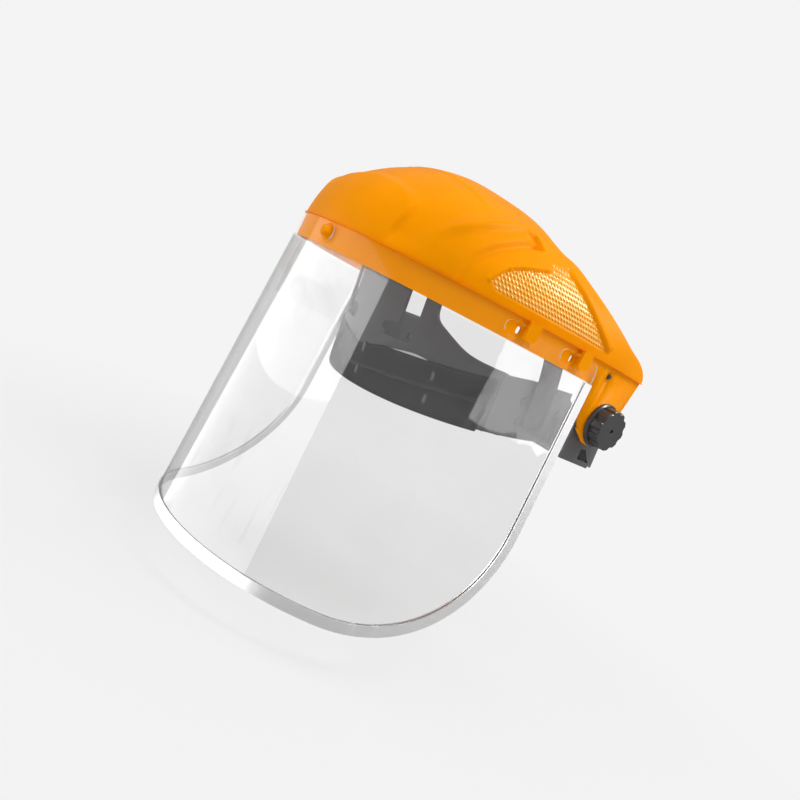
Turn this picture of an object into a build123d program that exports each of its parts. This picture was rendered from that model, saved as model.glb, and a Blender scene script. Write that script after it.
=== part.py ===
"""Face shield: a moulded crown guard with a clear visor, carried on a ratchet headgear.

Frame: the origin is the midpoint of the tilt axis, +X towards the wearer's left,
-Y to the front, +Z up. Lengths are millimetres, angles degrees.
"""
from build123d import *
from math import atan2, cos, degrees, pi, radians, sin, sqrt, tan
import os

# ---------------------------------------------------------------- driving dimensions
# Crown plan: a front arc that runs into a wider arc on each side
front_radius = 100.0          # band's outer face, front arc
front_centre_y = -56.7        # centre of the front arc
front_half_angle = 54.1       # where the front arc meets the side arcs
side_radius = 191.3           # band's outer face, side arcs

# Band and cheeks
band_bottom_z = 19.2
band_top_z = 34.0             # underside of the ledge that covers the visor's top edge
band_wall = 2.2
ledge_width = 1.6             # how far the dome stands out over the band
cheek_radius = 14.6           # round end of each cheek, about the pivot
cheek_rear_y = 22.3           # rear corner
cheek_rear_z = 36.0
cheek_behind_visor = 3.3      # the cheek's front edge, behind the visor's rear edge
boss_radius = 13.5            # flat pads on both faces of the cheek, round the pivot
boss_rise = 0.6               # outer pad above the cheek
boss_thickness = 3.4          # across both pads

# Dome
dome_height = 65.7            # above the ledge
dome_flatness = 2.36          # exponents of the dome's profile
dome_roundness = 1.53
dome_apex_y = -73.5
dome_wall = 2.4
rim_top_y = -61.0             # where the rear rim crosses the middle

# Relief on the dome
panel_depth = 0.9             # the grained side panels are sunk
rib_rise = 1.0                # lips, crescents and the front boss stand proud
notch_size = 5.5
notch_forward = 3.5           # ahead of the dome's apex

# Visor and its binding
visor_height = 203.0
visor_width = 386.0           # measured flat, along the curve
visor_thickness = 1.0
visor_flare = 1.07            # how much wider the U is at the bottom edge
visor_corner_radius = 90.0
visor_top_corner_radius = 10.0
visor_top_drop = 0.4          # below the ledge
visor_rake = 2.4              # how far the rear edge runs back on its way down
binding_width = 6.8
binding_wall = 0.6
binding_drop = 0.6            # the binding starts this far under the band
seat_gap = 0.3                # visor to band

# Visor hooks
hook_ahead = (52.2, 15.1)     # side hooks, ahead of the visor's rear edge
hook_z = 26.4                 # middle of every stem and slot
hook_stem = 6.8
hook_reach = 5.6              # stands out from the band
hook_head_thickness = 2.6
hook_head_width = 7.5
hook_head_low = 23.0
hook_head_high = 36.2
slot_height = 8.0
slot_length = 20.0
slot_shift = 5.0              # the stem sits towards the rear of its slot
hook_window_ahead = 5.9       # opening through the band, ahead of each stem
hook_window_length = 2.8
hook_window_height = 4.4
button_radius = 3.2
button_hole_radius = 5.2
button_z = 27.3

# Stop pins through the cheeks
pin_behind_visor = 12.9
pin_z = 28.1
pin_radius = 1.3
pin_in = 6.0                  # its ends, from the cheek's outer face
pin_out = 1.0
lug_gap = 0.4                 # pin to lug at the lowest tilt
lug_width = 4.6
tilt_down = 10.0              # the crown's travel below its working place

# Headband: an elliptical ring, pitched front down about the tilt axis
head_half_width = 80.0
head_half_length = 98.0
head_centre_y = -4.0
headgear_pitch = 10.0
headband_wall = 1.8
headband_low = -29.0
headband_high = 6.0
headband_rear_y = 40.0
headband_rear_high = -9.0     # its top edge falls to the rear
headband_shoulder_y = 12.0    # from here back
plate_top = 50.0              # front plate, above its windows
plate_half_width = 42.0
plate_swing_radius = 108.5    # its top is trimmed so that the crown swings clear
window_outer_x = 34.8
window_inner_x = 24.3
window_lobe_x = 14.0
window_low = 6.3
window_high = 42.0
window_lobe_high = 16.0
sweatband_inside = 4.2
sweatband_flap = 1.1
sweatband_low = -31.5
sweatband_high = 9.0
sweatband_rear_y = -18.0

# Pivot brackets
washer_space = 1.5            # pivot plate to the cheek's inner pad
bracket_wall = 2.4
bracket_base_thickness = 1.6
bracket_radius = 15.0
bracket_low = -28.3
bracket_rear_web_y = 16.0
rivet_radius = 2.0
rivet_head_radius = 3.2
rivet_head_height = 0.9
rivet_seat = 0.1              # flat head to curved ply

# Pivot hardware, along the tilt axis
bolt_radius = 2.5
bolt_head_radius = 6.0
bolt_head_height = 2.6
bolt_reach = 7.5              # beyond the cheek's outer pad
running_gap = 0.05            # radial, shaft in hole
face_gap = 0.05               # between faces that slide on each other
friction_washer_radius = 12.5
spring_washer_radius = 7.0
spring_washer_thickness = 0.7
knob_reach = 10.5             # its face, beyond the cheek's outer pad
knob_radius = 12.7
knob_flange_radius = 14.2
knob_flange_thickness = 2.4
knob_flutes = 10
flute_radius = 3.0
flute_depth = 1.1
knob_eye_radius = 1.4
nut_radius = 4.6
nut_length = 5.4

# Straps
layer_gap = 0.15              # between plies that lie on each other
strap_thickness = 1.4
strap_width = 18.0
strap_front_z = -11.0         # middle of a rear strap at its front end
strap_nape_z = -28.0          # and across the nape
strap_slope = 18.4            # degrees, from its front end down to the nape
strap_bend_radius = 30.0      # where it turns level
strap_front_y = 24.0          # where each rear strap starts, under its rivet
strap_rivet_y = 32.0
strap_tail = 30.0             # how far a rear strap runs past the middle
cross_strap_y = -14.6
cross_strap_width = 18.4
cross_strap_height = 95.0
cross_strap_low = -22.0
cross_strap_tail = 25.0
cross_strap_layer_drop = 0.6
cross_hole_pitch = 9.0
cross_peg_z = -14.0

# Nape unit and ratchet
nape_half_width = 36.0
nape_height = 26.0
nape_wall = 1.9
nape_cover_thickness = 1.7
nape_boss_radius = 15.0
nape_boss_height = 2.6
nape_pad_thickness = 5.5
strap_play = 0.3
rack_pitch_radius = 5.0
rack_teeth = 10
tooth_height = 1.0
rack_slot_half = 6.3
pinion_shaft_radius = 3.0
ratchet_wheel_radius = 9.4
ratchet_teeth = 24
pawl_gap = 0.35
pawl_thickness = 0.8
ratchet_knob_radius = 17.0
ratchet_knob_length = 12.0
ratchet_flutes = 14

# ---------------------------------------------------------------- derived places
half_angle = radians(front_half_angle)
side_centre_x = -(side_radius - front_radius) * sin(half_angle)
side_centre_y = front_centre_y + (side_radius - front_radius) * cos(half_angle)
crown_side_x = side_centre_x + sqrt(side_radius ** 2 - side_centre_y ** 2)
boss_out_x = crown_side_x + boss_rise
boss_in_x = boss_out_x - boss_thickness
bracket_plate_x = boss_in_x - washer_space
bolt_end_x = boss_out_x + bolt_reach
knob_face_x = boss_out_x + knob_reach
pin_inner_x = crown_side_x - pin_in
pin_outer_x = crown_side_x + pin_out
dome_length = dome_apex_y - front_centre_y + front_radius
visor_top_z = band_top_z - visor_top_drop
visor_bottom_z = visor_top_z - visor_height
visor_outside = seat_gap + visor_thickness
visor_side_arc = visor_width / 2 - (front_radius + visor_outside) * half_angle
visor_side_turn = visor_side_arc / (side_radius + visor_outside)
visor_rear_y = side_centre_y - (side_radius + visor_outside) * cos(half_angle + visor_side_turn)
cheek_front_y = visor_rear_y + cheek_behind_visor
pin_y = visor_rear_y + pin_behind_visor
strap_slant = tan(radians(strap_slope))
strap_rivet_z = strap_front_z - (strap_rivet_y - strap_front_y) * strap_slant
nape_low = strap_nape_z - nape_height / 2
nape_high = strap_nape_z + nape_height / 2
head_rear_y = head_centre_y + head_half_length
bracket_base_offset = layer_gap + bracket_base_thickness
cross_strap_x = head_half_width + bracket_base_offset + 3 * layer_gap
inner_strap = -headband_wall - layer_gap
outer_strap = layer_gap + strap_thickness
nape_inside = inner_strap - strap_thickness - strap_play
cover_inside = outer_strap + strap_play
far = 200.0


# ---------------------------------------------------------------- helpers
def slab(x_low, x_high, y_low, y_high, z_low, z_high):
    """A box given by its limits."""
    size = Box(x_high - x_low, y_high - y_low, z_high - z_low)
    return Pos((x_low + x_high) / 2, (y_low + y_high) / 2, (z_low + z_high) / 2) * size


def side_x(y, offset=0.0):
    """Distance from the middle plane to the side arc at this y."""
    return side_centre_x + sqrt((side_radius + offset) ** 2 - (y - side_centre_y) ** 2)


def side_turn(y, offset=0.0):
    """Direction of the side arc's outward normal, in degrees from +X."""
    return degrees(atan2(y - side_centre_y, side_x(y, offset) - side_centre_x))


def hook_places():
    """The side hooks' places along the band, from the front."""
    return [visor_rear_y - ahead for ahead in hook_ahead]


def plan(offset, rear_y, scale=1.0, centre_y=0.0, z=0.0):
    """The U seen from above, grown by offset, closed by a straight line at rear_y."""
    front = front_radius + offset
    side = side_radius + offset
    join = (front * sin(half_angle), front_centre_y - front * cos(half_angle))
    middle = (radians(side_turn(rear_y, offset)) + half_angle - pi / 2) / 2
    bulge = (side_centre_x + side * cos(middle), side_centre_y + side * sin(middle))
    points = [(side_x(rear_y, offset), rear_y), bulge, join, (0, front_centre_y - front)]
    rear, bulge, join, front = [(x * scale, centre_y + (y - centre_y) * scale, z) for x, y in points]
    rear_2, bulge_2, join_2 = [(-x, y, z) for x, y, z in (rear, bulge, join)]
    return make_face([
        ThreePointArc(rear, bulge, join),
        ThreePointArc(join, front, join_2),
        ThreePointArc(join_2, bulge_2, rear_2),
        Line(rear_2, rear),
    ])


def block(offset, low, high, rear_y):
    """The U-shaped plan extruded between two heights."""
    return Pos(0, 0, low) * extrude(plan(offset, rear_y), high - low)


def across(outline):
    """A side-view (YZ) outline carried right across the model."""
    return extrude(Plane.YZ * outline, far, both=True)


def forward(outline):
    """A front-view (XZ) outline carried forward from the middle."""
    return extrude(Plane.XZ * outline, far)


def upward(outline):
    """A plan-view outline carried up."""
    return extrude(outline, far)


def with_mirror(shape):
    """A shape and its mirror image in the middle plane."""
    return shape + mirror(shape, Plane.YZ)


def together(shapes):
    """Separate solids as one shape."""
    result = shapes[0]
    for shape in shapes[1:]:
        result += shape
    return result


def pitched(shape):
    """From the headgear's own level frame to its place on the tilt axis."""
    return Rot(headgear_pitch, 0, 0) * shape


def rod(radius, x_low, x_high):
    """A cylinder along the tilt axis."""
    return Pos((x_low + x_high) / 2, 0, 0) * Rot(0, 90, 0) * Cylinder(radius, x_high - x_low)


# ---------------------------------------------------------------- crown guard
def dome(offset):
    """Solid dome over the band, grown outwards by offset."""
    height = dome_height + offset
    sections = []
    for step in (0.0, 0.16, 0.32, 0.47, 0.61, 0.74, 0.85, 0.94, 0.985):
        shrink = (1 - step ** dome_flatness) ** (1 / dome_roundness)
        z = band_top_z + height * step
        sections.append(plan(offset + ledge_width, cheek_rear_y + 10, shrink, dome_apex_y, z))
    return loft(sections + [Vertex(0, dome_apex_y, band_top_z + height)])


def ahead_of_rim():
    """Everything in front of the dome's rear rim, seen from the side."""
    chamfer = (cheek_rear_y - 3.8, cheek_rear_z + 4.2)
    shoulder = (-49.0, 76.6)
    step = (-59.6, 81.0)
    top = (rim_top_y, band_top_z + dome_height)
    return make_face([
        Line((cheek_rear_y, cheek_rear_z), chamfer),
        Spline(chamfer, (-7, 50.4), (-29, 61.7), (-42, 70.3), shoulder),
        Line(shoulder, step),
        Line(step, top),
        Polyline(top, (rim_top_y, far), (-far, far), (-far, 0), (cheek_rear_y, 0),
                 (cheek_rear_y, cheek_rear_z)),
    ])


def cheek_outline():
    """Side view of the band with a cheek running down to its round end."""
    top = band_top_z + 5
    low = Vector(0, -cheek_radius)
    heel = low.rotate(Axis.Z, -30)
    edge = Spline(
        (cheek_front_y - 3.3, band_bottom_z), (cheek_front_y, 16.8), (cheek_front_y + 1.7, 10.5),
        (-20.4, 4.3), (-18.7, -1.8), (-15.0, -7.5), heel,
        tangents=[(1, -0.1), (cos(pi / 6), -sin(pi / 6))],
    )
    strip = make_face([
        edge,
        Line(heel, (cheek_radius, 0)),
        Polyline((cheek_radius, 0), (17.5, 12.0), (cheek_rear_y, cheek_rear_z),
                 (cheek_rear_y, top), (-far, top), (-far, band_bottom_z), edge @ 0),
    ])
    return strip + Circle(cheek_radius)


def on_side(*shares):
    """Side-view points given as shares of the dome's length ahead of its apex and its height."""
    return [(dome_apex_y - ahead * dome_length, band_top_z + high * dome_height)
            for ahead, high in shares]


def panel_front():
    """The arched front edge of a grained panel, seen from the side."""
    return Spline(*on_side((0.415, 0.129), (0.319, 0.297), (0.198, 0.411), (0.066, 0.460)))


def panel_rear():
    """The raked rear edge of a grained panel, seen from the side."""
    return Spline(*on_side((-0.156, 0.533), (-0.331, 0.327), (-0.475, 0.177), (-0.583, 0.081)))


def panel_outline():
    """Side view of a grained panel: an arched front, a tab at the top, a raked rear."""
    arch, rear = panel_front(), panel_rear()
    tab, foot = on_side((0.036, 0.527), (0.367, 0.081))
    return make_face([
        arch,
        Polyline(arch @ 1, tab, rear @ 0),
        rear,
        Polyline(rear @ 1, foot, arch @ 0),
    ])


def lip_outline():
    """Side view of the raised lip over a panel's arched front."""
    inner = panel_front()
    outer = Spline(*on_side((0.445, 0.137), (0.350, 0.324), (0.216, 0.457), (0.066, 0.508)))
    return make_face([inner, Line(inner @ 1, outer @ 1), outer, Line(outer @ 0, inner @ 0)])


def rib_outline():
    """Side view of the raised rib behind a panel."""
    front = panel_rear()
    back = Spline(*on_side((-0.174, 0.578), (-0.355, 0.381), (-0.511, 0.251), (-0.625, 0.167)))
    return make_face([front, Line(front @ 1, back @ 1), back, Line(back @ 0, front @ 0)])


def crescent(*shares):
    """Plan view of a raised crescent: its front tip, two middles and rear tip, as shares
    of the dome's half-width and of its length ahead of the apex."""
    half_width = side_x(dome_apex_y)
    tip_front, middle_inner, middle_outer, tip_rear = [
        (share * half_width, dome_apex_y - ahead * dome_length) for share, ahead in shares]
    inner = ThreePointArc(tip_front, middle_inner, tip_rear)
    outer = ThreePointArc(tip_front, middle_outer, tip_rear)
    return make_face([inner, outer])


def front_boss_outline():
    """Front view of the raised arch over the middle of the brow."""
    def at(share, high):
        return share * front_radius, band_top_z + high * dome_height

    sides = [(0.370, 0.426), (0.385, 0.289), (0.360, 0.122)]
    edge = [at(share, high) for share, high in sides]
    edge += [at(-share, high) for share, high in reversed(sides)]
    arch = ThreePointArc(at(-0.270, 0.510), at(0, 0.578), at(0.270, 0.510))
    return make_face([arch, Polyline(arch @ 1, *edge, arch @ 0)])


def hook(y):
    """One side hook, on the left: a stem with a head that turns up over the visor."""
    stem = slab(-1, hook_reach, -hook_stem / 2, hook_stem / 2,
                hook_z - hook_stem / 2, hook_z + hook_stem / 2)
    stem = fillet(stem.edges().filter_by(Axis.X), hook_stem * 0.33)
    head = slab(hook_reach - hook_head_thickness, hook_reach,
                -hook_head_width / 2, hook_head_width / 2, hook_head_low, hook_head_high)
    head = fillet(head.edges().filter_by(Axis.X), hook_head_width * 0.4)
    return Pos(side_x(y), y, 0) * Rot(0, 0, side_turn(y)) * (stem + head)


def slot(y, low, high, length, height, radius):
    """A rounded slot through the left side, square to the wall, clear of the stem."""
    outline = RectangleRounded(length, height, radius)
    tool = Pos(low, 0, 0) * extrude(Plane.YZ * outline, high - low)
    return Pos(side_x(y), y, hook_z) * Rot(0, 0, side_turn(y)) * tool


def crown_shell():
    """Dome, ledge, band, cheeks, hooks and relief in one moulding."""
    solid = dome(0)
    shell = solid - dome(-dome_wall)
    proud = dome(rib_rise) - solid
    crescents = [
        crescent((0.544, 0.763), (0.553, 0.463), (0.640, 0.463), (0.563, 0.150)),
        crescent((0.688, 0.619), (0.683, 0.331), (0.741, 0.331), (0.731, 0.078)),
    ]
    for outline in crescents:
        shell += with_mirror(proud & upward(outline))
    for outline in (lip_outline(), rib_outline()):
        shell += proud & across(outline)
    shell += proud & forward(front_boss_outline())
    sunk = solid - dome(-panel_depth)
    shell -= sunk & across(panel_outline())
    notch = Box(notch_size * 2, notch_size, notch_size)
    notch_x = 0.741 * side_x(dome_apex_y)
    notch_z = band_top_z + 0.654 * dome_height
    notch = Pos(notch_x, dome_apex_y - notch_forward, notch_z) * Rot(0, 45, 0) * notch
    shell -= with_mirror(sunk & notch)
    shell &= across(ahead_of_rim())

    wall = block(0, -far, band_top_z + 2, cheek_rear_y + 5)
    wall -= block(-band_wall, -far - 1, band_top_z + 3, cheek_rear_y + 25)
    shell += wall & across(cheek_outline())
    shell += with_mirror(rod(boss_radius, boss_in_x, boss_out_x))
    for y in hook_places():
        window = slot(y - hook_window_ahead, -band_wall - 2, 1, hook_window_length,
                      hook_window_height, hook_window_length * 0.45)
        shell -= with_mirror(window)
        shell += with_mirror(hook(y))
    button = Cylinder(button_radius, hook_reach, align=(Align.CENTER, Align.CENTER, Align.MIN))
    button = fillet(button.edges().group_by(Axis.Z)[-1], button_radius * 0.45)
    shell += Pos(0, front_centre_y - front_radius + 0.5, button_z) * Rot(90, 0, 0) * button
    shell -= with_mirror(rod(bolt_radius + running_gap, boss_in_x - 1, boss_out_x + 1))
    pin_hole = rod(pin_radius, pin_inner_x, pin_outer_x)
    return shell - with_mirror(Pos(0, pin_y, pin_z) * pin_hole)


def visor_outline(inset, top_z):
    """Side view of the visor inside its rear and bottom edges, each moved in by inset."""
    top = visor_rear_y - inset
    low = visor_bottom_z + inset
    front = -1.2 * far
    return make_face(Polyline((front, top_z), (top, top_z), (top + visor_rake, low), (front, low),
                              (front, top_z)))


def rounded_outline(inset, top_z, top_radius):
    """The same outline with its rear corners rounded."""
    face = visor_outline(inset, top_z)
    rear = face.vertices().sort_by(Axis.X)[-2:].sort_by(Axis.Y)
    face = fillet(rear[0], visor_corner_radius - inset)
    if top_radius:
        corner = face.vertices().sort_by(Axis.X)[-2:].sort_by(Axis.Y)[-1]
        face = fillet(corner, top_radius)
    return face


def visor_shell(outer, inner, extra):
    """The flared U between two offsets, carried past the bottom edge by extra."""
    reach = visor_height + extra
    flare = 1 + (visor_flare - 1) * reach / visor_height

    def solid(offset, rear_y):
        top = plan(offset, rear_y, 1.0, front_centre_y, visor_top_z)
        low = plan(offset, rear_y, flare, front_centre_y, visor_top_z - reach)
        return loft([low, top], ruled=True)

    return solid(outer, 10.0) - solid(inner, 30.0)


def visor():
    """The clear sheet, with a slot for each hook and a hole for the front button."""
    outline = rounded_outline(0, visor_top_z, visor_top_corner_radius)
    sheet = visor_shell(visor_outside, seat_gap, 0) & across(outline)
    for y in hook_places():
        tool = slot(y - slot_shift, -1, hook_reach, slot_length, slot_height, slot_height * 0.49)
        sheet -= with_mirror(tool)
    hole = Pos(0, front_centre_y - front_radius, button_z) * Rot(90, 0, 0)
    return sheet - hole * Cylinder(button_hole_radius, 20)


def visor_binding(sheet):
    """Folded metal strip over the visor's side and bottom edges."""
    start_z = band_bottom_z - binding_drop
    fold = visor_shell(visor_outside + binding_wall, seat_gap - binding_wall, binding_wall)
    fold &= across(rounded_outline(-binding_wall, start_z, 0))
    return fold - across(rounded_outline(binding_width - binding_wall, far, 0)) - sheet


def stop_pins():
    """A pin through each cheek, over the tilt axis."""
    return with_mirror(Pos(0, pin_y, pin_z) * rod(pin_radius, pin_inner_x, pin_outer_x))


# ---------------------------------------------------------------- headgear
def oval(offset, low, high):
    """The head's ellipse grown by offset and extruded between two heights."""
    outline = Ellipse(head_half_width + offset, head_half_length + offset)
    return Pos(0, head_centre_y, low) * extrude(outline, high - low)


def hoop(outer, inner, low, high):
    """An upright elliptical ring between two offsets."""
    return oval(outer, low, high) - oval(inner, low - 1, high + 1)


def ply_hole(y, z, radius, inner, outer, side):
    """A cylinder square to the hoop at height z, between two offsets; side is 1 or -1."""
    turn = sqrt(1 - ((y - head_centre_y) / head_half_length) ** 2)
    x = head_half_width * turn
    slope = degrees(atan2((y - head_centre_y) / head_half_length ** 2, x / head_half_width ** 2))
    pin = Pos((inner + outer) / 2, 0, z) * Rot(0, 90, 0) * Cylinder(radius, outer - inner)
    placed = Pos(x, y, 0) * Rot(0, 0, slope) * pin
    return placed if side > 0 else mirror(placed, Plane.YZ)


def peg_hole():
    """The cross strap's peg hole on the left, straight across through strap, pad and band."""
    tool = rod(rivet_radius + running_gap, head_half_width / 2, head_half_width + far / 20)
    return Pos(0, cross_strap_y, cross_peg_z) * tool


def ply_rivet(y, z, inner, outer, side):
    """A rivet through the plies between two offsets, with a head on each face."""
    start, end = inner - rivet_seat, outer + rivet_seat
    shank = ply_hole(y, z, rivet_radius, start - rivet_head_height, end + rivet_head_height, side)
    inside = ply_hole(y, z, rivet_head_radius, start - rivet_head_height, start, side)
    outside = ply_hole(y, z, rivet_head_radius, end, end + rivet_head_height, side)
    return shank + inside + outside


def plate_outline():
    """Front view of the forehead plate: a tongue and two arms over the band."""
    side = plate_half_width
    shoulder = Spline((side, 36), (44, 26.5), (49, 22), (57, 15.4), (62, 12.6), (72, 9.5),
                      (head_half_width + 2, headband_high), tangents=[(0, -1), (1, -0.2)])
    mirrored = mirror(shoulder, Plane.YZ)
    return make_face([
        shoulder,
        Polyline(shoulder @ 1, (head_half_width + 2, headband_low),
                 (-head_half_width - 2, headband_low), mirrored @ 1),
        mirrored,
        Polyline(mirrored @ 0, (-side, plate_top), (side, plate_top), shoulder @ 0),
    ])


def window_outline():
    """Front view of one J-shaped window."""
    width = window_outer_x - window_inner_x
    upright = RectangleRounded(width, window_high - window_low, width * 0.48)
    upright = Pos((window_outer_x + window_inner_x) / 2, (window_high + window_low) / 2) * upright
    reach = window_outer_x - window_lobe_x
    height = window_lobe_high - window_low
    foot = RectangleRounded(reach, height, height * 0.45)
    foot = Pos((window_outer_x + window_lobe_x) / 2, (window_lobe_high + window_low) / 2) * foot
    return upright + foot


def forehead_band():
    """Headband ring, open at the nape, rising into the windowed forehead plate."""
    ring = hoop(0, -headband_wall, headband_low, plate_top)
    front = ring & forward(plate_outline())
    sides = ring & across(make_face(Polyline(
        (-1, headband_low), (-1, headband_high), (headband_shoulder_y, headband_high),
        (headband_rear_y, headband_rear_high), (headband_rear_y, headband_low), (-1, headband_low),
    )))
    band = front + sides
    band -= with_mirror(forward(window_outline()))
    band &= Rot(0, 90, 0) * Cylinder(plate_swing_radius, far * 2)
    for side in (1, -1):
        for y, z in bracket_rivet_places() + [(strap_rivet_y, strap_rivet_z)]:
            band -= ply_hole(y, z, rivet_radius + running_gap, -far / 20, far / 20, side)
    return band - with_mirror(peg_hole())


def bracket_rivet_places():
    """Where each pivot bracket is riveted to the band."""
    return [(-26.2, -4.3), (-24.8, -17.5), (8.0, -9.0)]


def sweatband():
    """Soft band folded over the lower edge of the headband."""
    fold = hoop(layer_gap + sweatband_flap, -headband_wall - sweatband_inside,
                sweatband_low, sweatband_high)
    fold -= hoop(layer_gap, inner_strap, headband_low - layer_gap, sweatband_high + 1)
    low, middle, high = sweatband_low - 1, -8.0, 1.5
    flap = make_face([
        Polyline((-far, high), (-far, low), (far, low), (far, high), (55, high)),
        ThreePointArc((55, high), (0, middle), (-55, high)),
        Line((-55, high), (-far, high)),
    ])
    outside = hoop(layer_gap + sweatband_flap + 1, layer_gap - 0.05, sweatband_low, far)
    fold -= outside - extrude(Plane.XZ * flap, far, both=True)
    fold = pitched(fold & slab(-far, far, -far, sweatband_rear_y, -far, far))
    pads = across(offset(bracket_base_outline(), 2 * layer_gap))
    outside = pitched(hoop(far / 20, 0.05, 2 * headband_low, headband_high * 3))
    fold -= pads & outside
    for y, z in bracket_rivet_places():
        pocket = ply_hole(y, z, rivet_head_radius + layer_gap, inner_strap - 2, far / 20, 1)
        fold -= pitched(with_mirror(pocket))
    return fold


def bracket_base_outline():
    """Side view, on the wearer's frame, of the pad that is riveted to the band."""
    return make_face(Polyline(
        (-41.2, -34), (-46.9, 0.9), (-25.4, 5.7), (14.5, 9.3), (20, -24), (18.5, bracket_low),
        (-12, bracket_low), (-41.2, -34),
    ))


def bracket_plate_outline():
    """Side view of the pivot plate: a disc over a windowed skirt with a pointed tail."""
    skirt = make_face(Polyline(
        (-bracket_radius + 0.5, 0), (-13, bracket_low), (18.5, bracket_low), (18.9, -25.6),
        (22.3, -27), (19.8, -12), (bracket_radius - 0.5, 0), (-bracket_radius + 0.5, 0),
    ))
    window = make_face(Polyline((3.6, -18.3), (8.4, -17.5), (17.2, -25), (4.3, -25.2), (3.6, -18.3)))
    return skirt + Circle(bracket_radius) - window


def stop_lug_outline():
    """Side view of the lug that meets the stop pin at the lowest tilt."""
    radius = sqrt(pin_y ** 2 + pin_z ** 2)
    pin_angle = degrees(atan2(pin_z, pin_y)) + tilt_down
    edge = pin_angle + degrees((pin_radius + lug_gap) / radius)
    reach = radius + pin_radius + 1
    arm = Pos(reach / 2, lug_width / 2) * Rectangle(reach, lug_width)
    return Rot(0, 0, edge) * arm


def pivot_bracket():
    """Left bracket: base pad, shelf, rear web and the plate that carries the crown."""
    inner_x = bracket_plate_x - bracket_wall
    pad = pitched(hoop(bracket_base_offset, layer_gap, headband_low * 2, headband_high * 3))
    pad &= across(bracket_base_outline()) & slab(40, far, -far, far, -far, far)
    plate = extrude(Plane.YZ * bracket_plate_outline(), bracket_wall)
    lug = extrude(Plane.YZ * stop_lug_outline(), bracket_wall - 0.6)
    shelf = slab(head_half_width - 8, inner_x + 1, -12, 18.5, bracket_low, bracket_low + 2.2)
    web = slab(head_half_width - 8, inner_x + 1, bracket_rear_web_y - 2.4, bracket_rear_web_y,
               bracket_low, -8)
    clear = pitched(oval(layer_gap, headband_low * 2, headband_high * 4))
    bracket = pad + (shelf + web - clear) + Pos(inner_x, 0, 0) * (plate + lug)
    bracket -= rod(bolt_radius + running_gap, inner_x - 1, bracket_plate_x + 1)
    for y, z in bracket_rivet_places():
        bracket -= pitched(ply_hole(y, z, rivet_radius + running_gap, -far / 20, far / 20, 1))
    return bracket - pitched(peg_hole() & slab(0, cross_strap_x, -far, far, -far, far))


def bracket_rivets():
    """Rivets that hold both brackets on the headband."""
    rivets = []
    for side in (1, -1):
        for y, z in bracket_rivet_places():
            rivets.append(ply_rivet(y, z, -headband_wall, bracket_base_offset, side))
    return pitched(together(rivets))


def cross_strap(side):
    """One half of the overhead strap, on the wearer's left (1) or right (-1)."""
    drop = 0 if side > 0 else strap_thickness + cross_strap_layer_drop
    outer = Ellipse(cross_strap_x + strap_thickness, cross_strap_height + strap_thickness - drop)
    inner = Ellipse(cross_strap_x, cross_strap_height - drop)
    arch = extrude(Plane.XZ * (outer - inner), cross_strap_width / 2, both=True)
    half = cross_strap_width / 2
    arch &= slab(-cross_strap_tail, far, -half, half, 0, far)
    leg = slab(cross_strap_x, cross_strap_x + strap_thickness, -half, half, cross_strap_low, 0)
    end = leg.edges().filter_by(Axis.X).group_by(Axis.Z)[0]
    leg = fillet(end, half * 0.6)
    strap = Pos(0, cross_strap_y, 0) * (arch + leg)
    for step in (-2, -1, 0, 1, 2):
        hole = Pos(step * cross_hole_pitch, cross_strap_y, cross_strap_height / 2)
        strap -= hole * Cylinder(rivet_radius + running_gap, cross_strap_height + far)
    strap -= peg_hole()
    return strap if side > 0 else mirror(strap, Plane.YZ)


def cross_strap_pegs():
    """A peg at each end of the overhead strap and one through its overlap."""
    edge_y = abs(cross_strap_y - head_centre_y) + rivet_head_radius
    share = edge_y / (head_half_length - headband_wall)
    inner_x = (head_half_width - headband_wall) * sqrt(1 - share ** 2) - rivet_seat
    outer_x = cross_strap_x + strap_thickness + rivet_seat
    peg = rod(rivet_radius, inner_x - rivet_head_height, outer_x + rivet_head_height)
    peg += rod(rivet_head_radius, inner_x - rivet_head_height, inner_x)
    peg += rod(rivet_head_radius, outer_x, outer_x + rivet_head_height)
    peg = Pos(0, cross_strap_y, cross_peg_z) * peg
    low = cross_strap_height - strap_thickness - cross_strap_layer_drop - rivet_seat
    high = cross_strap_height + strap_thickness + rivet_seat
    grip = (Align.CENTER, Align.CENTER, Align.MIN)
    top = Pos(0, 0, low - rivet_head_height) * Cylinder(
        rivet_radius, high - low + 2 * rivet_head_height, align=grip)
    top += Pos(0, 0, low - rivet_head_height) * Cylinder(
        rivet_head_radius, rivet_head_height, align=grip)
    top += Pos(0, 0, high) * Cylinder(rivet_head_radius, rivet_head_height, align=grip)
    return with_mirror(peg) + Pos(0, cross_strap_y, 0) * top


# ---------------------------------------------------------------- pivot hardware
def pivot_bolt():
    """Left pivot bolt: a flat head inside the bracket plate and a plain shank."""
    inner_x = bracket_plate_x - bracket_wall
    return rod(bolt_head_radius, inner_x - bolt_head_height, inner_x) + rod(
        bolt_radius, inner_x - bolt_head_height, bolt_end_x)


def washer(radius, x_low, x_high):
    """A flat ring round the bolt."""
    return rod(radius, x_low, x_high) - rod(bolt_radius + running_gap, x_low - 1, x_high + 1)


def friction_washer():
    """Left friction washer, between the bracket plate and the cheek."""
    return washer(friction_washer_radius, bracket_plate_x + face_gap, boss_in_x - face_gap)


def spring_washer():
    """Left spring washer, between the cheek and the knob."""
    start = boss_out_x + face_gap
    return washer(spring_washer_radius, start, start + spring_washer_thickness)


def knob_start():
    """The knob's inner face, clear of the spring washer."""
    return boss_out_x + spring_washer_thickness + 2 * face_gap


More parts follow.
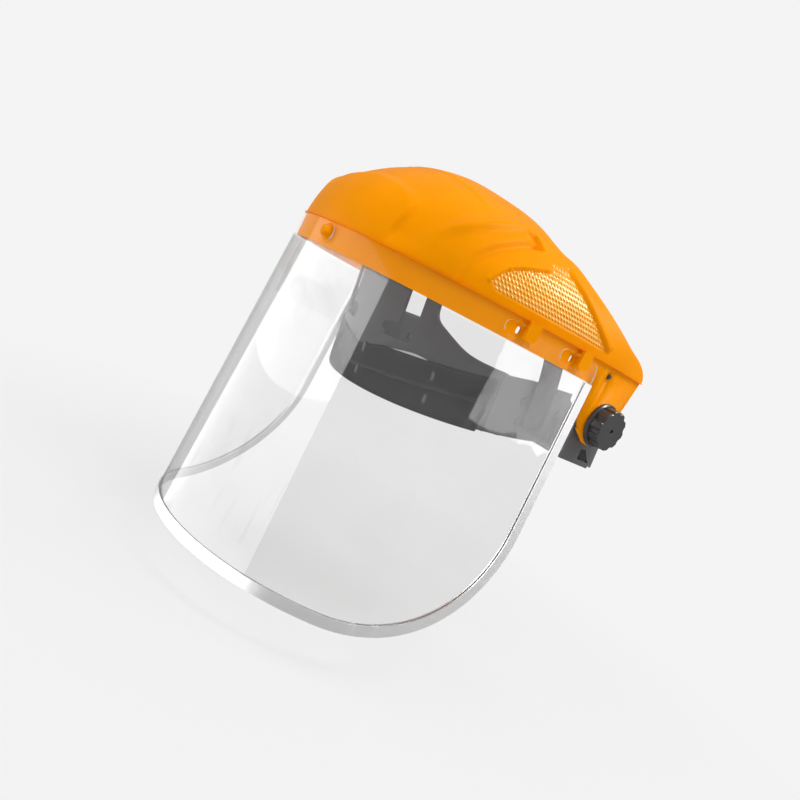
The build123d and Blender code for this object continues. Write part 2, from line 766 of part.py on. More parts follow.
def tension_knob():
    """Left knob: a fluted grip on a round flange, bored for its nut and the bolt's end."""
    start = knob_start()
    grip = Circle(knob_radius)
    for turn in range(knob_flutes):
        flute = Pos(knob_radius + flute_radius - flute_depth, 0) * Circle(flute_radius)
        grip -= Rot(0, 0, 360 / knob_flutes * (turn + 0.5)) * flute
    body = Pos(start, 0, 0) * extrude(Plane.YZ * grip, knob_face_x - start)
    face = body.edges().group_by(Axis.X)[-1]
    body = chamfer(face, 0.5)
    flange = rod(knob_flange_radius, start, start + knob_flange_thickness)
    body += chamfer(flange.edges().group_by(Axis.X)[-1], 0.8)
    body -= rod(nut_radius, start - 1, start + nut_length)
    body -= rod(bolt_radius + running_gap, start, bolt_end_x + 0.6)
    return body - rod(knob_eye_radius, knob_face_x - 1.2, knob_face_x + 1)


def knob_nut():
    """Left threaded insert, moulded into the knob."""
    start = knob_start()
    return washer(nut_radius, start, start + nut_length)


# ---------------------------------------------------------------- rear straps and nape
def gear_outline(radius, height, teeth, tip_share, root_share):
    """A wheel with straight-flanked teeth standing height either side of radius."""
    points = []
    for tooth in range(teeth):
        for share, r in ((-root_share, radius - height), (-tip_share, radius + height),
                         (tip_share, radius + height), (root_share, radius - height)):
            turn = 2 * pi * (tooth + share) / teeth
            points.append((r * cos(turn), r * sin(turn)))
    return make_face(Polyline(*points, points[0]))


def strap_run():
    """Side view of a rear strap: down from its front end, then level across the nape."""
    front = (strap_front_y, strap_front_z)
    bend = (strap_front_y + (strap_front_z - strap_nape_z) / strap_slant, strap_nape_z)
    middle = FilletPolyline(front, bend, (far, strap_nape_z), radius=strap_bend_radius)
    edges = [Pos(0, rise) * middle for rise in (-strap_width / 2, strap_width / 2)]
    low, high = edges
    return make_face([*low.edges(), Line(low @ 1, high @ 1), *high.edges(), Line(high @ 0, low @ 0)])


def rear_strap(side):
    """One rear strap with its rack slot; the left one lies inside, the right one outside."""
    if side > 0:
        ply = hoop(inner_strap, inner_strap - strap_thickness, -far, far)
    else:
        ply = hoop(outer_strap, layer_gap, -far, far)
    strap = ply & across(strap_run()) & slab(-strap_tail, far, strap_front_y, far, -far, far)
    pitch = pi * rack_pitch_radius * 2 / rack_teeth
    count = 2 * int(strap_tail / pitch) - 2
    length = count * pitch
    window = Pos(0, strap_nape_z) * Rectangle(length, rack_slot_half * 2)
    window = fillet(window.vertices(), 1.5)
    edge_z = strap_nape_z - rack_slot_half
    for step in range(1, count):
        x = -length / 2 + step * pitch
        tooth = Polyline((x - pitch * 0.3, edge_z - 0.5), (x - pitch * 0.12, edge_z + tooth_height),
                         (x + pitch * 0.12, edge_z + tooth_height), (x + pitch * 0.3, edge_z - 0.5),
                         (x - pitch * 0.3, edge_z - 0.5))
        window -= make_face(tooth)
    if side < 0:
        window = Pos(0, 2 * strap_nape_z) * mirror(window, Plane.XZ)
    strap -= Pos(0, far, 0) * extrude(Plane.XZ * window, far)
    strap -= ply_hole(strap_rivet_y, strap_rivet_z, rivet_radius + running_gap, -far / 20, far / 20, 1)
    return strap if side > 0 else mirror(strap, Plane.YZ)


def strap_anchor_rivets():
    """One rivet on each side, through the headband and the end of a rear strap."""
    left = ply_rivet(strap_rivet_y, strap_rivet_z, inner_strap - strap_thickness, 0, 1)
    right = ply_rivet(strap_rivet_y, strap_rivet_z, -headband_wall, outer_strap, -1)
    return left + right


def nape_arc(outer, inner, half_width, low, high):
    """The stretch of a hoop that lies across the nape."""
    return hoop(outer, inner, low, high) & slab(-half_width, half_width, 0, far, -far, far)


def along_nape(radius, start, end):
    """A cylinder along the middle of the nape, between two distances behind the head's ellipse."""
    pin = Cylinder(radius, end - start, align=(Align.CENTER, Align.CENTER, Align.MIN))
    return Pos(0, head_rear_y + start, strap_nape_z) * Rot(-90, 0, 0) * pin


def nape_housing():
    """Inner half of the nape unit: a channel that both rear straps slide through."""
    outside = nape_arc(cover_inside, nape_inside - nape_wall, nape_half_width, nape_low, nape_high)
    channel = nape_arc(cover_inside + 1, nape_inside, nape_half_width + 5,
                       strap_nape_z - strap_width / 2 - strap_play,
                       strap_nape_z + strap_width / 2 + strap_play)
    return outside - channel - along_nape(pinion_shaft_radius + running_gap, nape_inside - 5, far / 4)


def cover_face():
    """How far the cover's boss stands behind the head's ellipse."""
    return cover_inside + nape_cover_thickness + nape_boss_height


def nape_cover():
    """Outer half of the nape unit, with a recess for the ratchet in its round boss."""
    cover = nape_arc(cover_inside + nape_cover_thickness, cover_inside,
                     nape_half_width, nape_low, nape_high)
    cover += along_nape(nape_boss_radius, cover_inside + 0.6, cover_face())
    cover -= along_nape(pinion_shaft_radius + running_gap, 0, far / 4)
    recess = ratchet_wheel_radius + pawl_gap + pawl_thickness + 0.4
    cover -= along_nape(recess, cover_face() - nape_boss_height + 0.5, far / 4)
    return cover & slab(-far, far, 0, far, nape_low - 5, nape_high + 4)


def pawl_spring():
    """Bent leaf that clicks over the ratchet wheel."""
    low = cover_face() - nape_boss_height + 0.5
    inner = ratchet_wheel_radius + pawl_gap
    ring = along_nape(inner + pawl_thickness, low, cover_face() - 0.2)
    ring -= along_nape(inner, low - 1, cover_face() + 1)
    return ring & slab(-far, far, 0, far, strap_nape_z + inner * 0.3, far)


def nape_pad():
    """Soft pad on the inside of the nape unit."""
    start = nape_inside - nape_wall - layer_gap
    return nape_arc(start, start - nape_pad_thickness, nape_half_width - 2,
                    nape_low + 1, nape_high - 1)


def ratchet_pinion():
    """Pinion between the two racks, on a shaft that carries the knob."""
    wheel = gear_outline(rack_pitch_radius, tooth_height, rack_teeth, 0.12, 0.32)
    start = nape_inside + 0.3
    teeth = extrude(Plane.XZ * wheel, -(cover_inside - 2 * strap_play - start))
    teeth = Pos(0, head_rear_y + start, strap_nape_z) * teeth
    return teeth + along_nape(pinion_shaft_radius, nape_inside - nape_wall + 0.2,
                              cover_face() + ratchet_knob_length * 0.7)


def ratchet_knob():
    """Fluted knob with the ratchet wheel on its hub."""
    start = cover_face() + 0.3
    grip = Circle(ratchet_knob_radius)
    for turn in range(ratchet_flutes):
        flute = Pos(ratchet_knob_radius + flute_radius - flute_depth, 0) * Circle(flute_radius)
        grip -= Rot(0, 0, 360 / ratchet_flutes * turn) * flute
    body = extrude(Plane.XZ * grip, -ratchet_knob_length)
    body = chamfer(body.edges().group_by(Axis.Y)[-1], 1.0)
    wheel = gear_outline(ratchet_wheel_radius - 0.4, 0.4, ratchet_teeth, 0.05, 0.45)
    hub = extrude(Plane.XZ * wheel, -(nape_boss_height - 0.5))
    knob = Pos(0, head_rear_y + start, strap_nape_z) * body
    knob += Pos(0, head_rear_y + start - nape_boss_height + 0.5, strap_nape_z) * hub
    return knob - along_nape(pinion_shaft_radius, 0, cover_face() + ratchet_knob_length * 0.7)


# ---------------------------------------------------------------- writing the nodes
def write(name, shape):
    """One STEP file per node."""
    export_step(shape, f"parts/{name}.step")


os.makedirs("parts", exist_ok=True)
clear_sheet = visor()
write("crown_shell", crown_shell())
write("visor", clear_sheet)
write("visor_binding", visor_binding(clear_sheet))
write("stop_pins", stop_pins())
write("forehead_band", pitched(forehead_band()))
write("sweatband", sweatband())
write("bracket_rivets", bracket_rivets())
write("cross_strap_pegs", pitched(cross_strap_pegs()))
write("strap_anchor_rivets", pitched(strap_anchor_rivets()))
for side, name in ((1, "left"), (-1, "right")):
    write(f"{name}_cross_strap", pitched(cross_strap(side)))
    write(f"{name}_rear_strap", pitched(rear_strap(side)))
for maker in (pivot_bracket, pivot_bolt, friction_washer, spring_washer, tension_knob, knob_nut):
    left = maker()
    write(f"left_{maker.__name__}", left)
    write(f"right_{maker.__name__}", mirror(left, Plane.YZ))
for maker in (nape_housing, nape_cover, nape_pad, pawl_spring, ratchet_pinion, ratchet_knob):
    write(maker.__name__, pitched(maker()))
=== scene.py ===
# %% [markdown]
# # A face shield
# The object is a workshop face shield: an orange moulded crown, a clear visor with a folded
# metal binding, and a dark headgear that the crown tilts on. The engineering model comes in as
# a fixed frame of named pieces, in metres, with -Y to the front and +Z up. This lesson dresses
# that frame: camera, light, finishes, and then the pieces whose looks need real geometry.

# %% Load the frame
import bmesh
import bpy
from math import atan2, cos, pi, radians, sin, sqrt
from mathutils import Matrix, Vector


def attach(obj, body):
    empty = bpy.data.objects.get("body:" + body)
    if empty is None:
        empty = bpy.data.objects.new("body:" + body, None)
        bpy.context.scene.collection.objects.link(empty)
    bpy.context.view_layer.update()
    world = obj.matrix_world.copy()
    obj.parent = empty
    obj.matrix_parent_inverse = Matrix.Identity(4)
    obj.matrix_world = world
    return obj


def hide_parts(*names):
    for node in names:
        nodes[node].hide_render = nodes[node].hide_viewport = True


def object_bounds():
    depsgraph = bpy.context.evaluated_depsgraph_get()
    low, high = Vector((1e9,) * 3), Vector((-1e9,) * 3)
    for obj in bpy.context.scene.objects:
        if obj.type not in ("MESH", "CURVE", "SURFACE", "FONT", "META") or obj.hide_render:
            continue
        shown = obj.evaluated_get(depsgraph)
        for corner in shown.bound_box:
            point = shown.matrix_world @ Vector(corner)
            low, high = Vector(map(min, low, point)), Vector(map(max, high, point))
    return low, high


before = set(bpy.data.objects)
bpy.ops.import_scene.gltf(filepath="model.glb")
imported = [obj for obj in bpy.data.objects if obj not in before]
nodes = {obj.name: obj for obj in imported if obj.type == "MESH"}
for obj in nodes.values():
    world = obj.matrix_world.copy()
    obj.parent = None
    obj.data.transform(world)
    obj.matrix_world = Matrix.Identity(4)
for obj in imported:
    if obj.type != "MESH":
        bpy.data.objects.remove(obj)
frame_box = [list(corner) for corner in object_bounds()]
MM = 0.001
print("pieces in the frame:", len(nodes))

# %% [markdown]
# The camera looks at the left front of the shield from a little above the tilt axis, and it is
# rolled, so that the shield leans to the right. A roll is easiest to write as a basis: "back"
# points from the shield to the camera, and the level right and up are turned about it.

# %% Camera
azimuth, elevation, roll = radians(45.91), radians(5.44), radians(27.40)
distance, shift_right, shift_up = 0.59615, -0.05138, -0.02984
back = Vector((sin(azimuth) * cos(elevation), -cos(azimuth) * cos(elevation), sin(elevation)))
level_right = Vector((cos(azimuth), sin(azimuth), 0))
level_up = back.cross(level_right)
right = level_right * cos(roll) + level_up * sin(roll)
up = back.cross(right)
camera = bpy.data.objects.new("camera", bpy.data.cameras.new("camera"))
camera.data.sensor_width = 36
camera.data.lens = 37.9116
camera.data.clip_start = 0.01
camera.matrix_world = Matrix.Translation(back * distance + right * shift_right + up * shift_up) @ (
    Matrix((right, up, back)).transposed().to_4x4())
bpy.context.scene.collection.objects.link(camera)
bpy.context.scene.camera = camera
print("camera stands at", [round(v, 3) for v in camera.matrix_world.translation])

# %% [markdown]
# Every finish is a node material, so a few helpers keep the graphs short to write. One adds a
# node with its settings, and three more are short words for the nodes that come again and
# again: a sum, a range carried over to another range, and a grey. The last ones start a
# material, link what its shader reads, and put it on a piece of the frame.

# %% Helpers for node graphs
def add(tree, kind, inputs=None, **settings):
    node = tree.nodes.new("ShaderNode" + kind)
    for name, value in settings.items():
        setattr(node, name, value)
    for name, value in (inputs or {}).items():
        if isinstance(value, bpy.types.NodeSocket):
            tree.links.new(value, node.inputs[name])
        else:
            node.inputs[name].default_value = value
    return node


def calc(tree, operation, *values):
    return add(tree, "Math", dict(enumerate(values)), operation=operation).outputs[0]


def remap(tree, value, source, target=(0.0, 1.0)):
    """The value carried from one range to another and held inside it."""
    ends = dict(zip(("From Min", "From Max", "To Min", "To Max"), (*source, *target)))
    return add(tree, "MapRange", {"Value": value, **ends}).outputs["Result"]


def grey(tree, value):
    return add(tree, "CombineColor", {0: value, 1: value, 2: value}).outputs[0]


def start_material(name, **sockets):
    material = bpy.data.materials.new(name)
    material.use_nodes = True
    shader = material.node_tree.nodes["Principled BSDF"]
    for socket, value in sockets.items():
        shader.inputs[socket.replace("_", " ")].default_value = value
    return material, material.node_tree, shader


def feed(tree, shader, **values):
    for socket, value in values.items():
        tree.links.new(value, shader.inputs[socket.replace("_", " ")])


def finish_node(node, material):
    mesh = nodes[node].data
    mesh.materials.clear()
    mesh.materials.append(material)
    print(node, "gets", material.name)


# %% [markdown]
# Several finishes share small effects: the fine grain of a mould, hair scratches, rubbed edges
# and woven thread. Each is built once as a node group that gives out heights and masks, and
# the materials place it. The patterns read Object coordinates, so they stay on the piece when
# it moves; the weave follows the cloth's own map.

# %% Shared effects
def start_group(name, inputs, outputs):
    group = bpy.data.node_groups.new(name, "ShaderNodeTree")
    for title, value in inputs.items():
        socket = group.interface.new_socket(title, in_out="INPUT", socket_type="NodeSocketFloat")
        socket.default_value = value
    for title in outputs:
        group.interface.new_socket(title, in_out="OUTPUT", socket_type="NodeSocketFloat")
    given = group.nodes.new("NodeGroupInput").outputs
    result = group.nodes.new("NodeGroupOutput").inputs
    return group, given, result


def place_group(tree, group, **values):
    node = tree.nodes.new("ShaderNodeGroup")
    node.node_tree = group
    for title, value in values.items():
        node.inputs[title].default_value = value
    return node.outputs


moulded_grain, given, result = start_group("moulded grain", {"Scale": 900.0}, ["Height", "Tone"])
place = add(moulded_grain, "TexCoord").outputs["Object"]
fine = add(moulded_grain, "TexNoise", {"Vector": place, "Scale": given["Scale"], "Detail": 2.0})
pits = add(moulded_grain, "TexVoronoi", {"Vector": place, "Scale": given["Scale"]})
height = calc(moulded_grain, "MULTIPLY", pits.outputs["Distance"], fine.outputs["Fac"])
broad = add(moulded_grain, "TexNoise", {"Vector": place, "Scale": 22.0, "Detail": 3.0})
moulded_grain.links.new(height, result["Height"])
moulded_grain.links.new(broad.outputs["Fac"], result["Tone"])

hair_scratches, given, result = start_group("hair scratches", {}, ["Mask"])
place = add(hair_scratches, "TexCoord").outputs["Object"]
runs = []
for turn, stretch in (((0.3, 0.9, 0.4), (900, 14, 30)), ((1.1, -0.5, 2.0), (16, 1100, 24))):
    across = add(hair_scratches, "Mapping", {"Vector": place, "Rotation": turn, "Scale": stretch})
    grit = add(hair_scratches, "TexNoise", {"Vector": across.outputs[0], "Scale": 1.0, "Detail": 0.0})
    runs.append(remap(hair_scratches, grit.outputs["Fac"], (0.68, 0.74)))
most = calc(hair_scratches, "MAXIMUM", *runs)
where = add(hair_scratches, "TexNoise", {"Vector": place, "Scale": 30.0, "Detail": 1.0})
patch = remap(hair_scratches, where.outputs["Fac"], (0.45, 0.6))
hair_scratches.links.new(calc(hair_scratches, "MULTIPLY", most, patch), result["Mask"])

rubbed_edges, given, result = start_group("rubbed edges", {"Amount": 0.7}, ["Mask"])
rounded = add(rubbed_edges, "Bevel", {"Radius": 0.6 * MM}, samples=4)
true = add(rubbed_edges, "NewGeometry")
match = add(rubbed_edges, "VectorMath", {0: rounded.outputs[0], 1: true.outputs["Normal"]},
            operation="DOT_PRODUCT")
turned = remap(rubbed_edges, match.outputs["Value"], (0.995, 0.80))
place = add(rubbed_edges, "TexCoord").outputs["Object"]
uneven = add(rubbed_edges, "TexNoise", {"Vector": place, "Scale": 160.0, "Detail": 2.0})
broken = remap(rubbed_edges, uneven.outputs["Fac"], (0.3, 0.6), (0.2, 1.0))
edge_wear_and_painted_seam_light = calc(rubbed_edges, "MULTIPLY", turned, broken)
rubbed_edges.links.new(calc(rubbed_edges, "MULTIPLY", edge_wear_and_painted_seam_light, given["Amount"]), result["Mask"])

woven_cloth, given, result = start_group("woven cloth", {"Threads": 1400.0}, ["Height", "Shade"])
chart = add(woven_cloth, "UVMap").outputs["UV"]
places = add(woven_cloth, "SeparateXYZ", {0: chart}).outputs
waves = []
for axis in ("X", "Y"):
    count = calc(woven_cloth, "MULTIPLY", places[axis], given["Threads"])
    swing = calc(woven_cloth, "SINE", calc(woven_cloth, "MULTIPLY", count, pi))
    waves.append(calc(woven_cloth, "ABSOLUTE", swing))
board = add(woven_cloth, "TexChecker", {"Vector": chart, "Scale": given["Threads"]})
weave = add(woven_cloth, "Mix", {0: board.outputs["Fac"], 2: waves[0], 3: waves[1]})
place = add(woven_cloth, "TexCoord").outputs["Object"]
fuzz = add(woven_cloth, "TexNoise", {"Vector": place, "Scale": 250.0, "Detail": 3.0})
woven_cloth.links.new(weave.outputs[0], result["Height"])
woven_cloth.links.new(fuzz.outputs["Fac"], result["Shade"])
print("shared effects:", [group.name for group in bpy.data.node_groups])

# %% [markdown]
# Almost everything here is moulded plastic, so one function sets up the family: a colour that
# wanders a little, a lighter tone where edges are rubbed, scratches that dull the gloss, and the
# mould's grain as a bump.

# %% Moulded plastics
def moulded_plastic(name, colour, rubbed, roughness, grain, depth, scuffs, **sockets):
    """The grain is counted per metre, and its depth is in metres."""
    material, tree, shader = start_material(name, IOR=1.49, **sockets)
    skin = place_group(tree, moulded_grain, Scale=grain)
    value = remap(tree, skin["Tone"], (0.3, 0.7), (0.94, 1.06))
    tinted = add(tree, "HueSaturation", {"Color": (*colour, 1), "Value": value})
    edges = place_group(tree, rubbed_edges)
    final = add(tree, "Mix", {0: edges["Mask"], 6: tinted.outputs[0], 7: (*rubbed, 1)},
                data_type="RGBA")
    marks = place_group(tree, hair_scratches)
    dull = remap(tree, marks["Mask"], (0.0, 1.0), (roughness, min(1.0, roughness + scuffs)))
    bump = add(tree, "Bump", {"Height": skin["Height"], "Distance": depth, "Strength": 1.0})
    feed(tree, shader, Base_Color=final.outputs[2], Roughness=dull, Normal=bump.outputs[0])
    print("finish:", name)
    return material


# %% [markdown]
# The backdrop is a pale studio. The camera meets one even pale grey, also through the visor.
# Mirrors meet a dimmer sky, so that they show the lamps, and the light that the sky itself
# gives is dimmer still. Light Path tells the three apart.

# %% World
PALE = (0.905, 0.905, 0.905, 1)
WHITE = (1, 1, 1, 1)


def seen_directly(tree, path):
    """1 for a ray that comes from the camera, straight or through the visor."""
    return calc(tree, "MAXIMUM", path["Is Camera Ray"], path["Is Transmission Ray"])


world = bpy.data.worlds.new("studio")
bpy.context.scene.world = world
world.use_nodes = True
sky = world.node_tree
sky.nodes.clear()
path = add(sky, "LightPath").outputs
seen = seen_directly(sky, path)
pale = add(sky, "Background", {"Color": PALE, "Strength": 1.0})
fill = add(sky, "Background", {"Color": WHITE, "Strength": 0.24})
dim = add(sky, "Background", {"Color": WHITE, "Strength": 0.42})
lit = add(sky, "MixShader", {0: path["Is Glossy Ray"], 1: fill.outputs[0], 2: dim.outputs[0]})
both = add(sky, "MixShader", {0: seen, 1: lit.outputs[0], 2: pale.outputs[0]})
surface = sky.nodes.new("ShaderNodeOutputWorld")
sky.links.new(both.outputs[0], surface.inputs["Surface"])
print("sky:", [node.name for node in sky.nodes])

# %% [markdown]
# The floor is a wide disc, low enough for the visor to clear it when the crown tips forward. It
# keeps a soft shadow near the shield and fades into the sky's grey further out. A view from
# below should meet no floor at all, so its underside is clear.

# %% Floor
FLOOR_DROP = 28 * MM
floor_z = frame_box[0][2] - FLOOR_DROP
floor_mesh = bpy.data.meshes.new("floor")
bm = bmesh.new()
bmesh.ops.create_circle(bm, cap_ends=True, segments=96, radius=2.2)
bmesh.ops.translate(bm, verts=bm.verts, vec=(0, -0.06, floor_z))
bm.to_mesh(floor_mesh)
bm.free()
floor = bpy.data.objects.new("floor", floor_mesh)
bpy.context.scene.collection.objects.link(floor)
material, tree, shader = start_material("pale floor", Base_Color=(0.8, 0.8, 0.8, 1), Roughness=0.9)
place = add(tree, "TexCoord").outputs["Object"]
away = add(tree, "VectorMath", {0: place}, operation="LENGTH")
near = remap(tree, away.outputs["Value"], (0.16, 0.55), (0.30, 0.0))
seen = seen_directly(tree, add(tree, "LightPath").outputs)
glow = add(tree, "Emission", {"Color": PALE})
blend = add(tree, "MixShader", {0: near, 1: glow.outputs[0], 2: shader.outputs[0]})
choose = add(tree, "MixShader", {0: seen, 1: shader.outputs[0], 2: blend.outputs[0]})
under = add(tree, "NewGeometry").outputs["Backfacing"]
nothing = add(tree, "BsdfTransparent")
one_sided = add(tree, "MixShader", {0: under, 1: choose.outputs[0], 2: nothing.outputs[0]})
tree.links.new(one_sided.outputs[0], tree.nodes["Material Output"].inputs["Surface"])
floor_mesh.materials.append(material)
floor.visible_glossy = False
print("floor lies at", round(floor_z, 3))

# %% [markdown]
# The lamps come in three kinds. Soft boxes over the top and front light the object and aren't
# mirrored. A side box and a small one behind do both, so they also put glints on the knobs. The
# strips and the grain's glint light nothing: the visor mirrors the strips as upright pale bands,
# and the grained panels mirror the glint as rows of dots. Each lamp is placed by its azimuth,
# elevation and distance, in degrees and metres, and aimed at the middle of the shield.

# %% Lamps
AIM = Vector((0, -0.08, 0))
LAMPS = (  # name, azimuth, elevation, distance, (width, height), watts, what it leaves out
    ("key box", 88, 58, 1.6, (0.6, 0.5), 12, "visible_glossy"),
    ("top box", 40, 78, 1.6, (0.8, 0.6), 4, "visible_glossy"),
    ("front box", -28, 20, 1.6, (0.9, 0.6), 9.5, "visible_glossy"),
    ("side box", 100, 25, 1.5, (0.9, 0.5), 2, None),
    ("rear glint", 144, 38, 1.2, (0.3, 0.3), 3, None),
    ("left strip", -30, -19, 1.5, (3.0, 1.5), 38, "visible_diffuse"),
    ("right strip", 108, 2.5, 1.5, (1.21, 0.23), 1.9, "visible_diffuse"),
    ("grain glint", 127, 51, 1.5, (0.4, 0.4), 16, "visible_diffuse"))
for name, turn, height, reach, size, watts, left_out in LAMPS:
    lamp = bpy.data.lights.new(name, "AREA")
    lamp.shape = "RECTANGLE"
    lamp.size, lamp.size_y = size
    lamp.energy = watts
    lamp_object = bpy.data.objects.new(name, lamp)
    a, e = radians(turn), radians(height)
    out = Vector((sin(a) * cos(e), -cos(a) * cos(e), sin(e)))
    facing_out = out.to_track_quat("Z", "Y").to_matrix().to_4x4()
    lamp_object.matrix_world = Matrix.Translation(AIM + out * reach) @ facing_out
    bpy.context.scene.collection.objects.link(lamp_object)
    if left_out:
        setattr(lamp_object, left_out, False)
    print(name, "stands", reach, "m away")

# %% [markdown]
# The orange crown is moulded polypropylene. Its smooth part has a faint, warm mirror, and the
# same plastic is glossier on the grained panels, where each small cell catches a light.

# %% Crown finish
orange = moulded_plastic("orange moulding", (0.96, 0.315, 0.001), (1.0, 0.42, 0.02), roughness=0.42,
                         grain=700.0, depth=0.01 * MM, scuffs=0.2, Specular_IOR_Level=0.07,
                         Specular_Tint=(1.0, 0.42, 0.0, 1))
grained_orange = moulded_plastic("grained orange", (0.98, 0.37, 0.003), (1.0, 0.55, 0.05),
                                 roughness=0.25, grain=900.0, depth=0.005 * MM, scuffs=0.1,
                                 Specular_IOR_Level=1.0, Specular_Tint=(1.0, 0.9, 0.6, 1))

# %% [markdown]
# Pieces that are built here all end the same way: the built faces become a mesh with its
# finish, the object is told which body it rides on, and any nodes of the frame that it stands in
# for are hidden.

# %% Helper for new pieces
def new_piece(name, bm, finish, body, slot, *replaced, smooth=True):
    for face in bm.faces:
        face.smooth = smooth or face.smooth
    mesh = bpy.data.meshes.new(name)
    bm.to_mesh(mesh)
    bm.free()
    mesh.materials.append(finish)
    piece = bpy.data.objects.new(name, mesh)
    bpy.context.scene.collection.objects.link(piece)
    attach(piece, body)
    if replaced:
        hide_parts(*replaced)
    print(name, "has", len(mesh.polygons), "faces")
    return piece


# %% [markdown]
# The crown's upper half is the piece that the eye goes to first. It is one thin moulding whose
# steps, ribs and grained panels melt into each other, which a boolean model can only show with
# sharp edges. So the band, cheeks and hooks stay as the engineering model has them, copied and
# cut off at the ledge, and the dome over them is a new sheet. The sheet is a grid that is laid
# from the ledge to the rear rim on the dome's own law: a level section at a share of the height
# is the crown's plan, shrunk about the apex.

# %% Crown sizes
FRONT_RADIUS, SIDE_RADIUS, FRONT_Y = 100.7 * MM, 192.0 * MM, -56.7 * MM
HALF_ANGLE = radians(54.1)
SIDE_X = (FRONT_RADIUS - SIDE_RADIUS) * sin(HALF_ANGLE)
SIDE_Y = FRONT_Y - (FRONT_RADIUS - SIDE_RADIUS) * cos(HALF_ANGLE)
LEDGE_Z, DOME_RISE, APEX_Y, REAR_Y = 34.0 * MM, 65.7 * MM, -73.5 * MM, 32.3 * MM
CHEEK_REAR_Y = 22.3 * MM
FLATNESS, ROUNDNESS = 2.36, 1.53
JOIN_Y = FRONT_Y - FRONT_RADIUS * cos(HALF_ANGLE)
print("front of the ledge at", round(FRONT_Y - FRONT_RADIUS, 4))


# %% [markdown]
# The plan is a front arc and two side arcs. A place's share is how far out it lies on its way
# from the apex to the outline: 0 at the apex and 1 on the outline. From that, the law gives the
# dome's height over any place. A ray from a centre inside the head crosses the dome once, and
# halving finds where.

# %% Dome law
def times_to_arc(x, y, centre_x, centre_y, radius):
    """How many times the step (x, y) fits between the apex and a circle round the apex."""
    across, along = -centre_x, APEX_Y - centre_y
    a, b = x * x + y * y, x * across + y * along
    return (-b + sqrt(max(0.0, b * b - a * (across * across + along * along - radius * radius)))) / a


def share_of_plan(x, y):
    x, y = abs(x) + 1e-9, y - APEX_Y
    times = times_to_arc(x, y, 0.0, FRONT_Y, FRONT_RADIUS)
    if APEX_Y + y * times > JOIN_Y:
        times = times_to_arc(x, y, SIDE_X, SIDE_Y, SIDE_RADIUS)
        if y * times > REAR_Y - APEX_Y:
            times = (REAR_Y - APEX_Y) / y
    return 1 / times


def dome_height(x, y):
    share = min(1.0, share_of_plan(x, y))
    return LEDGE_Z + DOME_RISE * (1 - share ** ROUNDNESS) ** (1 / FLATNESS)


def halve(low, high, outside):
    """Where a run from inside the dome leaves it, between two distances."""
    for _ in range(24):
        middle = (low + high) / 2
        if outside(middle):
            high = middle
        else:
            low = middle
    return low


def is_outside(x, y, z):
    return share_of_plan(x, y) > 1 or z > dome_height(x, y)


HEART = Vector((0, -50 * MM, 22 * MM))


def on_dome(direction):
    reach = halve(20 * MM, 190 * MM, lambda r: is_outside(*(HEART + direction * r)))
    return HEART + direction * reach


def half_width(y, z):
    """How wide the dome is at this place in the side view."""
    return halve(0.0, 130 * MM, lambda x: is_outside(x, y, z))


print("dome over the brow:", round(dome_height(0, -0.12), 4))

# %% [markdown]
# The grid's two long edges are the ledge and the rear rim. The rim is a curve in the side view,
# so each of its points is found where the dome meets that curve. The ledge follows the plan: the
# side arc from the cheek to the join, and the front arc from there to the middle.

# %% Ledge and rim
def smooth_line(knots):
    """Points on a smooth curve through knots of the side view, given in millimetres."""
    path = bpy.data.curves.new("knots", "CURVE")
    run = path.splines.new("BEZIER")
    run.bezier_points.add(len(knots) - 1)
    run.resolution_u = 16
    for point, (y, z) in zip(run.bezier_points, knots):
        point.co = (0, y * MM, z * MM)
        point.handle_left_type = point.handle_right_type = "AUTO"
    holder = bpy.data.objects.new("knots", path)
    points = [v.co.copy() for v in holder.to_mesh().vertices]
    holder.to_mesh_clear()
    bpy.data.objects.remove(holder)
    bpy.data.curves.remove(path)
    return points


def even(points, count):
    """The same path with count points at equal distances."""
    steps = [0.0]
    for a, b in zip(points, points[1:]):
        steps.append(steps[-1] + (b - a).length)
    result, k = [], 0
    for i in range(count):
        goal = steps[-1] * i / (count - 1)
        while k < len(points) - 2 and steps[k + 1] < goal:
            k += 1
        share = (goal - steps[k]) / max(1e-12, steps[k + 1] - steps[k])
        result.append(points[k].lerp(points[k + 1], share))
    return result


def both_sides(points):
    """A path from the left side to the middle, carried on to the right side."""
    return points + [Vector((-p.x, p.y, p.z)) for p in reversed(points[:-1])]


COLUMNS, ROWS = 440, 90
EDGE_ROUND = 0.45 * MM
rim = smooth_line([(22.3, 36.0), (18.5, 40.2), (-7.0, 50.4), (-29.0, 61.7), (-42.0, 70.3),
                   (-49.0, 76.6), (-59.6, 81.0), (-60.4, 92.0)])
rim = [Vector((half_width(p.y, p.z), p.y, p.z)) for p in rim]
TOP_Y = -60.9 * MM
widths = [rim[-1].x * k / 24 for k in reversed(range(24))]
rim += [Vector((x, TOP_Y, dome_height(x, TOP_Y))) for x in widths]
rim = even(both_sides(rim), COLUMNS + 1)
ledge = []
for k in range(241):
    y = CHEEK_REAR_Y - (CHEEK_REAR_Y - JOIN_Y) * k / 240
    ledge.append(Vector((SIDE_X + sqrt(SIDE_RADIUS ** 2 - (y - SIDE_Y) ** 2), y, 0)))
for k in range(1, 181):
    turn = HALF_ANGLE * (1 - k / 180)
    ledge.append(Vector((FRONT_RADIUS * sin(turn), FRONT_Y - FRONT_RADIUS * cos(turn), 0)))
ledge = [p + Vector((0, 0, LEDGE_Z + EDGE_ROUND)) for p in even(both_sides(ledge), COLUMNS + 1)]
print("ledge points:", len(ledge), "rim points:", len(rim))

# %% [markdown]
# The relief is a height that is added to the sheet along its own direction, in millimetres. For
# a form with an outline, the distance inside the outline is turned into a soft step. The side
# outlines lie in the side view, as (y, z), and the brow panel's in the front view, as (x, z).

